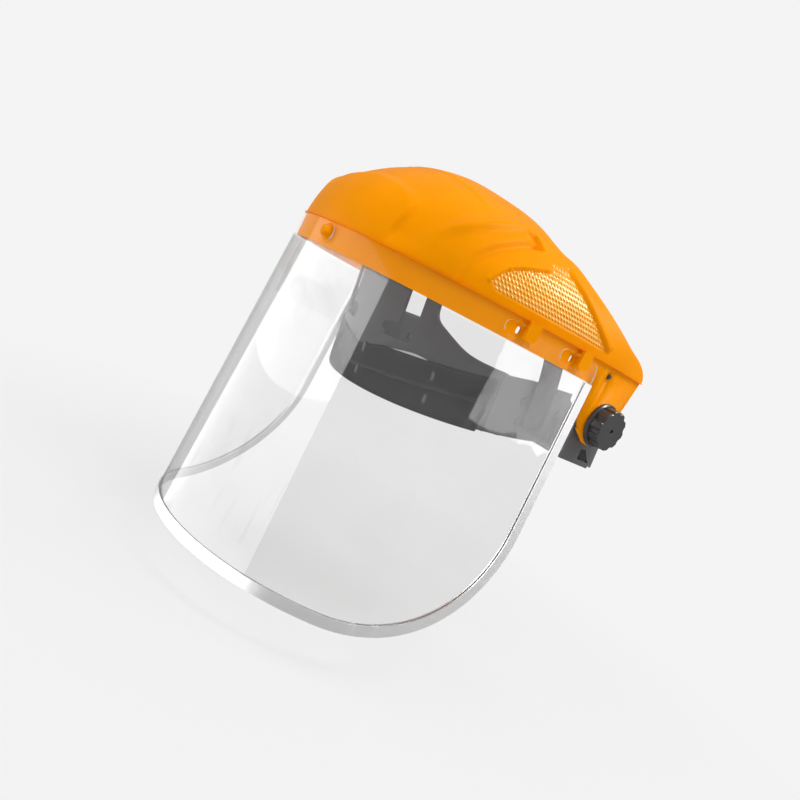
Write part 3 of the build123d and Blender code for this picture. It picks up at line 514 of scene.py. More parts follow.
# %% Outlines
def soft(low, high, value):
    """A smooth step: 0 at low, 1 at high and held beyond them."""
    share = min(1.0, max(0.0, (value - low) / (high - low)))
    return share * share * (3 - 2 * share)


def apart(path, u, v):
    """Distance from a path of (u, v) points, in millimetres."""
    best = 1e9
    for (u0, v0), (u1, v1) in zip(path, path[1:]):
        run_u, run_v = u1 - u0, v1 - v0
        share = ((u - u0) * run_u + (v - v0) * run_v) / (run_u * run_u + run_v * run_v + 1e-12)
        share = min(1.0, max(0.0, share))
        best = min(best, (u - u0 - run_u * share) ** 2 + (v - v0 - run_v * share) ** 2)
    return sqrt(best)


def inside(outline, u, v):
    """Distance inside a closed outline, negative outside."""
    within = False
    for (u0, v0), (u1, v1) in zip(outline, outline[1:] + outline[:1]):
        if (v0 > v) != (v1 > v) and u < u0 + (v - v0) / (v1 - v0) * (u1 - u0):
            within = not within
    far = apart(outline + outline[:1], u, v)
    return far if within else -far


def ramp(start, end, u, v):
    """A slope between two paths: 0 on the first, 1 on the second, none where they meet."""
    a, b = apart(start, u, v), apart(end, u, v)
    return a / (a + b + 1e-9) * soft(0.0, 2.5, a + b)


def knots_in_mm(knots):
    return [(p.y / MM, p.z / MM) for p in smooth_line(knots)][::4]


arch = knots_in_mm([(-108.6, 42.8), (-103.2, 51), (-91, 58.2), (-75.3, 63.8)])
rake = knots_in_mm([(-60.5, 69), (-46, 55.5), (-34, 45.6), (-25, 39.3)])
panel_outline = arch + [(-72.5, 68.9), (-60.3, 71)] + rake + [(-104, 39.3)]
lip_top = knots_in_mm([(-111.3, 43), (-108.7, 49.7), (-102.9, 55.4), (-92.5, 62.8), (-73.3, 67.6)])
lip_outline = arch + lip_top[::-1]
rib_outline = rake + knots_in_mm([(-57.5, 73), (-43.2, 62), (-31.8, 53), (-21.8, 44)])[::-1]
brow_outer = [(0, 75.8), (10, 75.2), (19, 73.9), (31, 71.4), (37, 69.2), (40.5, 66), (41.6, 62.5),
              (41.2, 57), (40.2, 50), (39.8, 42), (39.8, 30)]
brow_inner = [(0, 70.6), (9, 70.4), (17.5, 69.3), (29.5, 66), (34.5, 63.6), (37.4, 61), (38.6, 57.5),
              (38.8, 54), (38.9, 49), (39, 42), (39, 30)]
brow_outline = brow_outer + [(-x, z) for x, z in reversed(brow_outer[1:])]
brow_floor = brow_inner + [(-x, z) for x, z in reversed(brow_inner[1:])]
print("panel outline has", len(panel_outline), "points")


# %% [markdown]
# The two crescents on each side are lens shapes between two arcs of the plan: the upper one
# swells towards its outer arc and drops off there, and the lower one is a cut that runs out
# softly. Three places on an arc give its circle. Below them comes the whole relief, in the
# order of the brow, the crescents, the side panel with its lip and rib, and the notch.

# %% Crescents and relief
BROW_DROP, SWELL_RISE, CUT_DEPTH = 2.4, 2.8, 3.6
PANEL_DEPTH, LIP_RISE, RIB_RISE = 0.6, 1.4, 1.7
NOTCH_DEPTH, NOTCH_Y, NOTCH_Z = 2.6, -79.4, 77.0


def circle_through(a, b, c):
    """Centre and radius of the circle through three plan points."""
    ax, ay, bx, by, cx, cy = *a, *b, *c
    d = 2 * (ax * (by - cy) + bx * (cy - ay) + cx * (ay - by))
    p, q, r = ax * ax + ay * ay, bx * bx + by * by, cx * cx + cy * cy
    x = (p * (by - cy) + q * (cy - ay) + r * (ay - by)) / d
    y = (p * (cx - bx) + q * (ax - cx) + r * (bx - ax)) / d
    return x, y, sqrt((ax - x) ** 2 + (ay - y) ** 2)


def past(circle, x, y):
    """How far (x, y) lies outside an arc that bulges away from the middle."""
    centre_x, centre_y, radius = circle
    return sqrt((x - centre_x) ** 2 + (y - centre_y) ** 2) - radius


swell_in = circle_through((56.4, -138.5), (58.2, -112), (58.0, -86))
swell_out = circle_through((56.4, -138.5), (66.4, -113), (66.8, -88))
cut_in = circle_through((74.0, -129), (76.2, -104), (75.4, -82))
cut_out = circle_through((74.0, -129), (86.5, -104), (85.5, -80))


def relief(spot):
    """How far the crown's surface stands above the plain dome here, in millimetres."""
    x, y, z = abs(spot.x) / MM, spot.y / MM, spot.z / MM
    rise = 0.0
    if y < -105:
        drop = BROW_DROP * soft(34, 46, z)
        beyond = -inside(brow_outline, x, z)
        if beyond > 0:
            rise -= drop * soft(24, 5, beyond)
        elif inside(brow_floor, x, z) < 0:
            a, b = apart(brow_outer, x, z), apart(brow_inner, x, z)
            rise -= drop * b / (a + b)
    if x > 45 and -145 < y < -78:
        low, high = past(swell_in, x, y), -past(swell_out, x, y)
        width = low + high
        if width > 0 and low > 0:
            taper = soft(0, 6, width) * soft(-81, -86, y)
            rise += SWELL_RISE * taper * (low / width if high > 0 else soft(-4.0, 0.2, high))
        low, high = past(cut_in, x, y), -past(cut_out, x, y)
        width = low + high
        if width > 0 and low > 0 and high > 0:
            rise -= CUT_DEPTH * soft(0, 5, width) * soft(-0.2, 3.4, low) * soft(0, 1, high / width)
    if x > 60 and y > -118:
        rise -= PANEL_DEPTH * soft(-0.3, 0.6, inside(panel_outline, y, z))
        if inside(lip_outline, y, z) > 0:
            rise += LIP_RISE * ramp(lip_top, arch, y, z)
        rise += RIB_RISE * soft(-0.8, 1.8, inside(rib_outline, y, z))
        along, above = abs(y - NOTCH_Y), abs(z - NOTCH_Z)
        rise -= NOTCH_DEPTH * soft(3.8, 3.0, along) * soft(3.8, 3.0, above)
    return rise


print("swell rises", round(relief(Vector((0.064, -0.112, 0.085))), 2), "mm")

# %% [markdown]
# Now the sheet itself. Two grids are laid: the outer face with a few more rows round its edge,
# which roll over the moulding's edge, and the inner face one wall thickness in. Merging them
# along the edge closes the shell.

# %% Dome sheet
WALL = 2.4 * MM


def slerp(a, b, share):
    angle = a.angle(b)
    if angle < 1e-6:
        return a.copy()
    return (a * sin((1 - share) * angle) + b * sin(share * angle)) / sin(angle)


core, facing = {}, {}
for i in range(COLUMNS + 1):
    low, high = (ledge[i] - HEART).normalized(), (rim[i] - HEART).normalized()
    for j in range(ROWS + 1):
        core[i, j] = on_dome(slerp(low, high, j / ROWS))


def read_directions():
    for i, j in core:
        along = core[min(i + 1, COLUMNS), j] - core[max(i - 1, 0), j]
        upward = core[i, min(j + 1, ROWS)] - core[i, max(j - 1, 0)]
        normal = along.cross(upward).normalized()
        facing[i, j] = normal if normal.dot(core[i, j] - HEART) > 0 else -normal


read_directions()
core = {key: spot + facing[key] * relief(spot) * MM for key, spot in core.items()}
read_directions()


def rolled(i, j):
    """A point of the outer grid, whose last five rows go round the edge to the inner face."""
    ci, cj = min(max(i, 0), COLUMNS), min(max(j, 0), ROWS)
    over = max(abs(i - ci), abs(j - cj))
    spot, normal = core[ci, cj], facing[ci, cj]
    if over == 0:
        return spot
    out = Vector()
    if i != ci:
        inner = core[min(max(ci, 1), COLUMNS - 1), cj]
        out += (spot - inner).normalized()
    if j != cj:
        inner = core[ci, min(max(cj, 1), ROWS - 1)]
        out += (spot - inner).normalized()
    out = (out - normal * out.dot(normal)).normalized()
    if over <= 3:
        turn = over * pi / 6
        return spot + (out * sin(turn) - normal * (1 - cos(turn))) * EDGE_ROUND
    return spot - normal * WALL + (out * EDGE_ROUND if over == 4 else Vector())


def lay_grid(bm, border, place):
    """A grid with border more rows on each side, each corner put where place says."""
    wide, deep = COLUMNS + 2 * border, ROWS + 2 * border
    made = bmesh.ops.create_grid(bm, x_segments=wide, y_segments=deep, size=1)["verts"]
    for v in made:
        i = round((v.co.x + 1) / 2 * wide) - border
        j = round((v.co.y + 1) / 2 * deep) - border
        v.co = place(i, j)


bm = bmesh.new()
lay_grid(bm, 5, rolled)
lay_grid(bm, 0, lambda i, j: core[i, j] - facing[i, j] * WALL)
bmesh.ops.remove_doubles(bm, verts=bm.verts, dist=0.002 * MM)
bmesh.ops.recalc_face_normals(bm, faces=bm.faces)
dome = new_piece("crown_dome", bm, orange, "crown", "crown")

# %% [markdown]
# The two side panels are covered with rows of small raised cells, which catch the light as
# rows of dots. Every cell is six by six faces of one fine grid, raised to a rounded point,
# and the grid is trimmed to just past the panel's outline, under the moulding's soft edge.

# %% Grained panels
CELL_LONG, CELL_HIGH, CELL_RISE, CELL_LEAN = 2.15, 2.55, 0.8, -0.55
CELL_PROFILE = (0.0, 0.14, 0.66, 1.0, 0.66, 0.14)
FINE_LONG, FINE_HIGH = CELL_LONG / 6, CELL_HIGH / 6
FIELD_Y, FIELD_Z, FIELD_LONG, FIELD_HIGH = -112, 37, 92, 35
PANEL_OVERLAP = 0.7
bm = bmesh.new()
columns, rows = int(FIELD_LONG / FINE_LONG), int(FIELD_HIGH / FINE_HIGH)
bmesh.ops.create_grid(bm, x_segments=columns, y_segments=rows, size=1)
for v in bm.verts:
    i, j = round((v.co.x + 1) / 2 * columns), round((v.co.y + 1) / 2 * rows)
    y = FIELD_Y + i * FINE_LONG + CELL_LEAN * j * FINE_HIGH
    v.co = (CELL_PROFILE[i % 6] * CELL_PROFILE[j % 6], y, FIELD_Z + j * FINE_HIGH)
spare = [f for f in bm.faces
         if inside(panel_outline, *f.calc_center_median().yz) < -PANEL_OVERLAP]
bmesh.ops.delete(bm, geom=spare, context="FACES")
for v in bm.verts:
    rise = v.co.x * CELL_RISE
    y, z = v.co.y * MM, v.co.z * MM
    spot = Vector((half_width(y, z), y, z))
    ahead = Vector((half_width(y + MM, z), y + MM, z)) - spot
    above = Vector((half_width(y, z + MM), y, z + MM)) - spot
    normal = ahead.cross(above).normalized()
    normal = normal if normal.x > 0 else -normal
    v.co = spot + normal * (rise - PANEL_DEPTH) * MM
bmesh.ops.mirror(bm, geom=bm.verts[:] + bm.edges[:] + bm.faces[:], axis="X", merge_dist=0)
for face in bm.faces:
    face.normal_update()
flip = [f for f in bm.faces if f.normal.x * f.calc_center_median().x < 0]
bmesh.ops.reverse_faces(bm, faces=flip)
new_piece("crown_panels", bm, grained_orange, "crown", "crown")

# %% [markdown]
# Under the ledge, the band, cheeks, pads and hooks are already right in the engineering model,
# so a copy of it is merged into one skin and cut off level, just inside the dome sheet. The cut
# opens the hooks: the open edges are gathered into loops, and each small loop is closed again.

# %% Band and cheeks
CUT_Z, SMALL_LOOP = LEDGE_Z + 0.4 * MM, 25 * MM
bm = bmesh.new()
bm.from_mesh(nodes["crown_shell"].data)
bmesh.ops.remove_doubles(bm, verts=bm.verts, dist=0.001 * MM)
bmesh.ops.bisect_plane(bm, geom=bm.verts[:] + bm.edges[:] + bm.faces[:],
                       plane_co=(0, 0, CUT_Z), plane_no=(0, 0, 1), clear_outer=True)
rims = {e for e in bm.edges if e.is_boundary}
while rims:
    loop, waiting = set(), [rims.pop()]
    while waiting:
        edge = waiting.pop()
        loop.add(edge)
        near = {e for v in edge.verts for e in v.link_edges if e in rims}
        rims -= near
        waiting += near
    spots = [v.co for e in loop for v in e.verts]
    if max(p.x for p in spots) - min(p.x for p in spots) < SMALL_LOOP:
        bmesh.ops.holes_fill(bm, edges=list(loop), sides=0)
new_piece("crown_band", bm, orange, "crown", "crown", "crown_shell", smooth=False)
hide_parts("crown_shell")

# %% [markdown]
# The visor is a thin clear sheet. It bends no light that passes, so the body of it has an index
# of 1 and only tints a little, and the coat over it is what mirrors the room. Hair scratches and
# finger marks break the mirror up. Where the sheet hugs the crown's band there is next to no
# mirror at all, and there it tints less, a painted light that brightens the band seen through
# it. Lamps have to light what stands behind the sheet, so it is plain transparent to shadow and
# bounced rays.

# %% Clear sheet
BAND_FOOT = (17.5 * MM, 19.5 * MM)
material, tree, shader = start_material(
    "clear sheet", Base_Color=(0.93, 0.935, 0.935, 1), Roughness=0.0, IOR=1.0,
    Transmission_Weight=1.0, Coat_Weight=1.0, Coat_Roughness=0.03, Coat_IOR=1.58)
marks = place_group(tree, hair_scratches)
place = add(tree, "TexCoord").outputs["Object"]
height = add(tree, "SeparateXYZ", {0: place}).outputs["Z"]
touched = add(tree, "TexNoise", {"Vector": place, "Scale": 26.0, "Detail": 4.0, "Distortion": 0.6})
smudge = remap(tree, touched.outputs["Fac"], (0.56, 0.74), (1.0, 0.8))
mirror_share = calc(tree, "MULTIPLY_ADD", marks["Mask"], -0.35, smudge)
hugging = remap(tree, height, BAND_FOOT, (1.0, 0.12))
veil = remap(tree, touched.outputs["Fac"], (0.3, 0.8), (0.885, 0.855))
# painted light: over the band the sheet's tint is lifted almost to clear, so the band seen through it
# is brighter
painted_band_light = remap(tree, height, BAND_FOOT, (1.0, 1.13))
feed(tree, shader, Coat_Weight=calc(tree, "MULTIPLY", mirror_share, hugging),
     Base_Color=grey(tree, calc(tree, "MULTIPLY", veil, painted_band_light)))
path = add(tree, "LightPath").outputs
passes = add(tree, "BsdfTransparent", {"Color": (0.99, 0.99, 0.99, 1)})
unlit = calc(tree, "MAXIMUM", path["Is Shadow Ray"], path["Is Diffuse Ray"])
sheet = add(tree, "MixShader", {0: unlit, 1: shader.outputs[0], 2: passes.outputs[0]})
tree.links.new(sheet.outputs[0], tree.nodes["Material Output"].inputs["Surface"])
finish_node("visor", material)

# %% [markdown]
# The sheet was cut with a saw, so its edges and the walls of its slots are frosted, and their
# pale tone is partly a painted highlight for the light that clear edges catch. They are the faces
# that don't look out from the arc they stand on. The top edge is under the ledge, and it stays
# clear.

# %% Cut edges of the sheet
material, tree, shader = start_material("cut edge", Roughness=0.45, IOR=1.58, Alpha=0.75)
frost_and_edge_glint = place_group(tree, moulded_grain, Scale=900.0)
# pale grey tone: the frosted edge, and a painted highlight along it
feed(tree, shader, Base_Color=grey(tree, remap(tree, frost_and_edge_glint["Tone"], (0.0, 1.0), (0.8, 1.0))))
sheet_mesh = nodes["visor"].data
sheet_mesh.materials.append(material)
cut = 0
for face in sheet_mesh.polygons:
    x, y = face.center.x, face.center.y
    side = (SIDE_X if x > 0 else -SIDE_X, SIDE_Y) if y > JOIN_Y else (0.0, FRONT_Y)
    across = Vector((x - side[0], y - side[1], 0)).normalized()
    if abs(face.normal.dot(across)) < 0.6 and face.normal.z < 0.7:
        face.material_index = 1
        cut += 1
print("cut edge faces on the sheet:", cut)

# %% [markdown]
# The binding is a folded strip of soft bright metal. It was drawn through rollers, so it has
# faint lines and shallow dents, and it is scuffed where it is set down on a bench.

# %% Bright strip
material, tree, shader = start_material("bright strip", Metallic=0.85)
place = add(tree, "TexCoord").outputs["Object"]
drawn = add(tree, "Mapping", {"Vector": place, "Scale": (60.0, 60.0, 900.0)})
lines = add(tree, "TexNoise", {"Vector": drawn.outputs[0], "Scale": 1.0, "Detail": 2.0})
dents = add(tree, "TexNoise", {"Vector": place, "Scale": 130.0, "Detail": 1.0})
marks = place_group(tree, hair_scratches)
tone = remap(tree, lines.outputs["Fac"], (0.0, 1.0), (0.88, 0.97))
rough = calc(tree, "MULTIPLY_ADD", marks["Mask"], 0.2, 0.36)
bump = add(tree, "Bump", {"Height": dents.outputs["Fac"], "Distance": 0.12 * MM, "Strength": 1.0})
feed(tree, shader, Base_Color=grey(tree, tone), Roughness=rough, Normal=bump.outputs[0])
finish_node("visor_binding", material)

# %% [markdown]
# The headgear is charcoal plastic in two tones: the thin band and straps are darker and a little
# shinier, the thick brackets that carry the crown are greyer and matt.

# %% Headgear plastics
def finish_nodes(material, *names):
    for node in names:
        finish_node(node, material)


def both_hands(name):
    return f"left_{name}", f"right_{name}"


charcoal = moulded_plastic("charcoal band", (0.056, 0.056, 0.058), (0.14, 0.14, 0.14),
                           roughness=0.5, grain=2200.0, depth=0.006 * MM, scuffs=0.15)
finish_nodes(charcoal, "forehead_band", "bracket_rivets", "cross_strap_pegs", "strap_anchor_rivets",
             "nape_housing", "nape_cover")
strap_plastic = moulded_plastic("strap plastic", (0.060, 0.060, 0.062), (0.12, 0.12, 0.12),
                                roughness=0.42, grain=600.0, depth=0.01 * MM, scuffs=0.2,
                                Specular_IOR_Level=0.25)
finish_nodes(strap_plastic, *both_hands("cross_strap"), *both_hands("rear_strap"))
bracket_plastic = moulded_plastic("bracket plastic", (0.105, 0.105, 0.107), (0.26, 0.26, 0.26),
                                  roughness=0.55, grain=800.0, depth=0.03 * MM, scuffs=0.15)
finish_nodes(bracket_plastic, *both_hands("pivot_bracket"))
knob_plastic = moulded_plastic("knob plastic", (0.045, 0.045, 0.046), (0.13, 0.13, 0.13),
                               roughness=0.28, grain=1000.0, depth=0.01 * MM, scuffs=0.25)
finish_nodes(knob_plastic, *both_hands("tension_knob"), "ratchet_knob", "ratchet_pinion", "stop_pins")
washer_rubber = moulded_plastic("washer rubber", (0.03, 0.03, 0.03), (0.05, 0.05, 0.05),
                                roughness=0.75, grain=1400.0, depth=0.03 * MM, scuffs=0.1)
finish_nodes(washer_rubber, *both_hands("friction_washer"))


# %% [markdown]
# The small metal parts are turned or pressed, so their tone follows fine rings and pits.

# %% Small metal parts
def small_metal(name, colour, roughness):
    material, tree, shader = start_material(name, Metallic=1.0)
    skin = place_group(tree, moulded_grain, Scale=1800.0)
    value = remap(tree, skin["Height"], (0.0, 1.0), (0.85, 1.05))
    tinted = add(tree, "HueSaturation", {"Color": (*colour, 1), "Value": value})
    marks = place_group(tree, hair_scratches)
    rough = calc(tree, "MULTIPLY_ADD", marks["Mask"], 0.25, roughness)
    bump = add(tree, "Bump", {"Height": skin["Height"], "Distance": 0.02 * MM, "Strength": 1.0})
    feed(tree, shader, Base_Color=tinted.outputs[0], Roughness=rough, Normal=bump.outputs[0])
    print("finish:", name)
    return material


zinc = small_metal("zinc plate", (0.62, 0.62, 0.63), 0.3)
finish_nodes(zinc, *both_hands("pivot_bolt"), *both_hands("spring_washer"), "pawl_spring")
brass = small_metal("turned brass", (0.78, 0.62, 0.32), 0.25)
finish_nodes(brass, *both_hands("knob_nut"))

# %% [markdown]
# The cloth is a dark knitted cover: a fine weave in the bump, a soft fuzz in the tone with painted
# shade in the weave's hollows, and a little sheen at grazing angles. A seam has a painted
# highlight on its lip and painted shade beside it, which the mesh carries as a value on its points.

# %% Cloth finish
cloth, tree, shader = start_material("sweatband cloth", Sheen_Weight=0.06, Sheen_Roughness=0.5,
                                     Specular_IOR_Level=0.15)
threads = place_group(tree, woven_cloth, Threads=620.0)
fuzz = remap(tree, threads["Shade"], (0.3, 0.7), (0.85, 1.15))
# painted shade: the colour is darker in the weave's hollows
painted_weave_shade = remap(tree, threads["Height"], (0.0, 1.0), (0.8, 1.08))
# the seam's painted highlight and painted shade, carried by the mesh
edge_wear_and_painted_seam_light = add(tree, "Attribute", attribute_name="edge_wear_and_painted_seam_light").outputs["Fac"]
painted_seam_light = calc(tree, "MULTIPLY_ADD", edge_wear_and_painted_seam_light, 2.6, 1.0)
shade = calc(tree, "MULTIPLY", calc(tree, "MULTIPLY", fuzz, painted_weave_shade), painted_seam_light)
tinted = add(tree, "HueSaturation", {"Color": (0.017, 0.017, 0.018, 1), "Value": shade})
rough = remap(tree, threads["Shade"], (0.0, 1.0), (0.75, 0.95))
bump = add(tree, "Bump", {"Height": threads["Height"], "Distance": 0.03 * MM, "Strength": 1.0})
feed(tree, shader, Base_Color=tinted.outputs[0], Roughness=rough, Normal=bump.outputs[0])
print("finish:", cloth.name)

# %% [markdown]
# Soft pieces follow the headband, an upright ellipse pitched front down about the tilt axis. A
# place on it is a turn round the head from the brow, a distance out from the band's outer face,
# and a height along the band.

# %% Places on the headband
HEAD_WIDE, HEAD_LONG, HEAD_Y, PITCH = 80 * MM, 98 * MM, -4 * MM, radians(10)
HEAD_MEAN, INNER_MEAN = 90 * MM, 88 * MM  # mean radius of the band, and of a pad inside it


def on_headband(turn, out, height):
    x = (HEAD_WIDE + out) * sin(turn)
    y = HEAD_Y - (HEAD_LONG + out) * cos(turn)
    return Vector((x, y * cos(PITCH) - height * sin(PITCH), y * sin(PITCH) + height * cos(PITCH)))


def from_headband(spot):
    """The turn, distance out and height of a place."""
    y = spot.y * cos(PITCH) + spot.z * sin(PITCH)
    height = spot.z * cos(PITCH) - spot.y * sin(PITCH)
    turn = atan2(spot.x / HEAD_WIDE, (HEAD_Y - y) / HEAD_LONG)
    out = 0.0
    for _ in range(4):
        face = on_headband(turn, out, height)
        flat = Vector((spot.x - face.x, y - (HEAD_Y - (HEAD_LONG + out) * cos(turn))))
        out += flat.dot(Vector((sin(turn), -cos(turn))))
    return turn, out, height


print("brow of the band", [round(v, 4) for v in on_headband(0, 0, 0)])

# %% [markdown]
# A pad starts as a cube cut into a block that is bent round the band. Voxels turn it into an
# even skin, cloth pressure swells it, and no point may move further than a cap or leave the
# space between the head and the band. Then its edges are drawn in along the seams, and its map
# is laid from the places on the band, so that the weave runs round the head.

# %% Padded block
def bent_block(turns, outs, heights, cuts):
    bm = bmesh.new()
    bmesh.ops.create_cube(bm, size=1)
    for axis, count in enumerate(cuts):
        steps = {e: e.verts[0].co - e.verts[1].co for e in bm.edges}
        run = [e for e, step in steps.items()
               if abs(step[axis]) > 1e-3 and abs(step.length - abs(step[axis])) < 1e-5]
        bmesh.ops.subdivide_edges(bm, edges=run, cuts=count, use_grid_fill=True)
    for v in bm.verts:
        share = [c + 0.5 for c in v.co]
        place = [low + (high - low) * s for (low, high), s in zip((turns, outs, heights), share)]
        v.co = on_headband(*place)
    bmesh.ops.recalc_face_normals(bm, faces=bm.faces)
    return bm


def settle(piece):
    """The piece's mesh as its modifiers leave it, with the modifiers gone."""
    shot = piece.evaluated_get(bpy.context.evaluated_depsgraph_get())
    made = bpy.data.meshes.new_from_object(shot)
    piece.modifiers.clear()
    piece.data = made


def swell(piece, voxel, cap, out_limit):
    """Swell a closed block as foam in a tight cover swells."""
    skin = piece.modifiers.new("even skin", "REMESH")
    skin.mode, skin.voxel_size, skin.use_smooth_shade = "VOXEL", voxel, True
    settle(piece)
    start = [v.co.copy() for v in piece.data.vertices]
    cover = piece.modifiers.new("tight cover", "CLOTH")
    cover.settings.use_pressure = True
    cover.settings.uniform_pressure_force = 4
    cover.settings.effector_weights.gravity = 0
    for step in range(1, 21):
        bpy.context.scene.frame_set(step)
    settle(piece)
    bpy.context.scene.frame_set(1)
    moved = 0.0
    for v, was in zip(piece.data.vertices, start):
        push = v.co - was
        if push.length > cap:
            v.co = was + push * (cap / push.length)
        turn, out, height = from_headband(v.co)
        if out > out_limit:
            v.co = on_headband(turn, out_limit, height)
        moved = max(moved, (v.co - was).length)
    print(piece.name, "swelled by up to", round(moved / MM, 2), "mm over", len(start), "points")


def lay_cloth_map(mesh):
    chart = mesh.uv_layers.get("UVMap") or mesh.uv_layers.new(name="UVMap")
    places = [from_headband(v.co) for v in mesh.vertices]
    for loop in mesh.loops:
        turn, out, height = places[loop.vertex_index]
        chart.data[loop.index].uv = (turn * HEAD_MEAN, height + out)


def sew_up(piece):
    """Smooth a swelled piece once and lay its map."""
    finer = piece.modifiers.new("finer", "SUBSURF")
    finer.levels = finer.render_levels = 1
    settle(piece)
    lay_cloth_map(piece.data)


# %% [markdown]
# The sweatband's pad lies inside the band across the brow. A row of stitches holds it near its
# top and bottom edges, and cross seams divide it into cells so that it bends round the head.

# %% Sweatband pad
PAD_OUTS, PAD_HEIGHTS = (-5.3 * MM, -2.35 * MM), (-30.6 * MM, 4.8 * MM)
PAD_TURN = radians(79)
PAD_VOXEL, PAD_SWELL = 2.2 * MM, 1.0 * MM
block = bent_block((-PAD_TURN, PAD_TURN), PAD_OUTS, PAD_HEIGHTS, (60, 2, 12))
pad = new_piece("sweatband_pad", block, cloth, "headgear", "sweatband", "sweatband")
swell(pad, PAD_VOXEL, PAD_SWELL, -2.0 * MM)


def draw_in_seams(piece, heights, turns, depth, inner):
    """Draw the inner face in along level seams and upright seams."""
    reach = 2.6 * MM
    for v in piece.data.vertices:
        turn, out, height = from_headband(v.co)
        if out > inner:
            continue
        near = min([abs(height - h) for h in heights] + [abs(turn - t) * INNER_MEAN for t in turns])
        v.co = on_headband(turn, out + depth * (1 - soft(0.0, reach, near)), height)


seam_turns = [radians(t) for t in range(-60, 61, 20)]
draw_in_seams(pad, (-25.5 * MM, -0.2 * MM), seam_turns, 1.1 * MM, -3.4 * MM)
sew_up(pad)

# %% [markdown]
# The cover wraps under the band and up its outside, where its top edge dips at the brow. Two
# strips of it overlap in a stitched seam halfway up. It is a grid laid by its turn round the head
# and its run down the outside and under the band, then given its thickness.

# %% Sweatband cover
FLAP_TURN, FLAP_COLUMNS, FLAP_ROWS = radians(63), 120, 48


def flap_top(turn):
    steps = abs(turn) * 180 / pi
    return (-5.0 + 4.3 * soft(0, 18, steps) + 0.085 * steps) * MM


def flap_seam(turn):
    steps = abs(turn) * 180 / pi
    return (-19.5 + 0.17 * steps - 0.00095 * steps ** 2) * MM


def flap_run(turn):
    """The cover's run at this turn, as (out, height) places at even steps."""
    top, seam = flap_top(turn) / MM, flap_seam(turn) / MM
    run = [Vector((0.55, top, 0)), Vector((0.75, top - 1.5, 0)), Vector((0.60, top - 2.6, 0)),
           Vector((0.72, seam + 4.0, 0)), Vector((0.95, seam + 0.7, 0)), Vector((0.50, seam, 0)),
           Vector((0.48, seam - 0.6, 0)), Vector((0.80, seam - 3.5, 0)),
           Vector((0.84, -25.5, 0)), Vector((0.62, -29.2, 0))]
    run += [Vector((-0.9 + 1.5 * cos(a), -29.4 - 1.4 * sin(a), 0)) for a in (0.5, 1.0, 1.5)]
    run += [Vector((-3.6, -30.8, 0)), Vector((-5.2, -30.2, 0))]
    return even(run, FLAP_ROWS + 1)


bm = bmesh.new()
bmesh.ops.create_grid(bm, x_segments=FLAP_COLUMNS, y_segments=FLAP_ROWS, size=1)
edge_wear_and_painted_seam_light = bm.verts.layers.float.new("edge_wear_and_painted_seam_light")
runs = {}
for v in bm.verts:
    column, row = round((v.co.x + 1) / 2 * FLAP_COLUMNS), round((1 - v.co.y) / 2 * FLAP_ROWS)
    turn = FLAP_TURN * v.co.x
    if column not in runs:
        runs[column] = flap_run(turn)
    out, height, _ = runs[column][row]
    past_seam = height - flap_seam(turn) / MM
    # painted highlight on the seam's lip, painted shade just below it
    v[edge_wear_and_painted_seam_light] = 1.0 if 0.1 < past_seam < 0.9 else -0.35 if -0.9 < past_seam <= 0.1 else 0.0
    lean = radians(1.5) * min(1.0, max(-1.0, turn * 10)) * (height + 12) / 30
    v.co = on_headband(turn + lean, out * MM, height * MM)
bmesh.ops.recalc_face_normals(bm, faces=bm.faces)
if sum(f.normal.dot(f.calc_center_median() - HEART) for f in bm.faces) < 0:
    bmesh.ops.reverse_faces(bm, faces=bm.faces)
bmesh.ops.solidify(bm, geom=bm.faces[:], thickness=0.45 * MM)
flap = new_piece("sweatband_cover", bm, cloth, "headgear", "sweatband", "sweatband")
lay_cloth_map(flap.data)

# %% [markdown]
# At the brow a sliver of the white foam inside shows over the cover's top edge, on one side
# only. It is a thin strip round the band, highest a little past its middle.

# %% Liner edge
LINER_START, LINER_TURN, LINER_RISE = 17, 18, 1.5
bm = bmesh.new()
bmesh.ops.create_grid(bm, x_segments=24, y_segments=2, size=1)
for v in bm.verts:
    share = (v.co.x + 1) / 2
    turn = radians(LINER_START + LINER_TURN * share)
    bulge = LINER_RISE * sin(pi * share ** 1.6) * (v.co.y + 1) / 2
    v.co = on_headband(turn, 0.42 * MM, flap_top(turn) - (0.4 - bulge) * MM)
bmesh.ops.recalc_face_normals(bm, faces=bm.faces)
bmesh.ops.solidify(bm, geom=bm.faces[:], thickness=0.25 * MM)
foam = moulded_plastic("white foam", (0.78, 0.78, 0.77), (0.85, 0.85, 0.85), roughness=0.8,
                       grain=1500.0, depth=0.03 * MM, scuffs=0.1)
new_piece("liner_edge", bm, foam, "headgear", "sweatband")

# %% [markdown]
# Thread shows along the cover's top edge and its seam. One stitch is a short rounded bar, and
# a few dozen faces are enough for it, because there are hundreds.

# %% Stitches
STITCH_LONG, STITCH_HIGH, STITCH_PROUD = 2.0 * MM, 0.42 * MM, 0.34 * MM
STITCH_PITCH = 1.35 * (STITCH_LONG / HEAD_MEAN)
SEWN_TURN = radians(61)


def stitch_row(bm, height_at, out):
    turn = -SEWN_TURN
    while turn < SEWN_TURN:
        made = bmesh.ops.create_uvsphere(bm, u_segments=6, v_segments=5, radius=0.5)["verts"]
        centre = on_headband(turn, out, height_at(turn))
        along = (on_headband(turn + 0.01, out, height_at(turn + 0.01)) - centre).normalized()
        face = (on_headband(turn, out + MM, height_at(turn)) - centre).normalized()
        side = along.cross(face)
        for v in made:
            long, proud, high = v.co.x * STITCH_LONG, v.co.y * STITCH_PROUD, v.co.z * STITCH_HIGH
            v.co = centre + along * long + face * proud + side * high
        turn += STITCH_PITCH


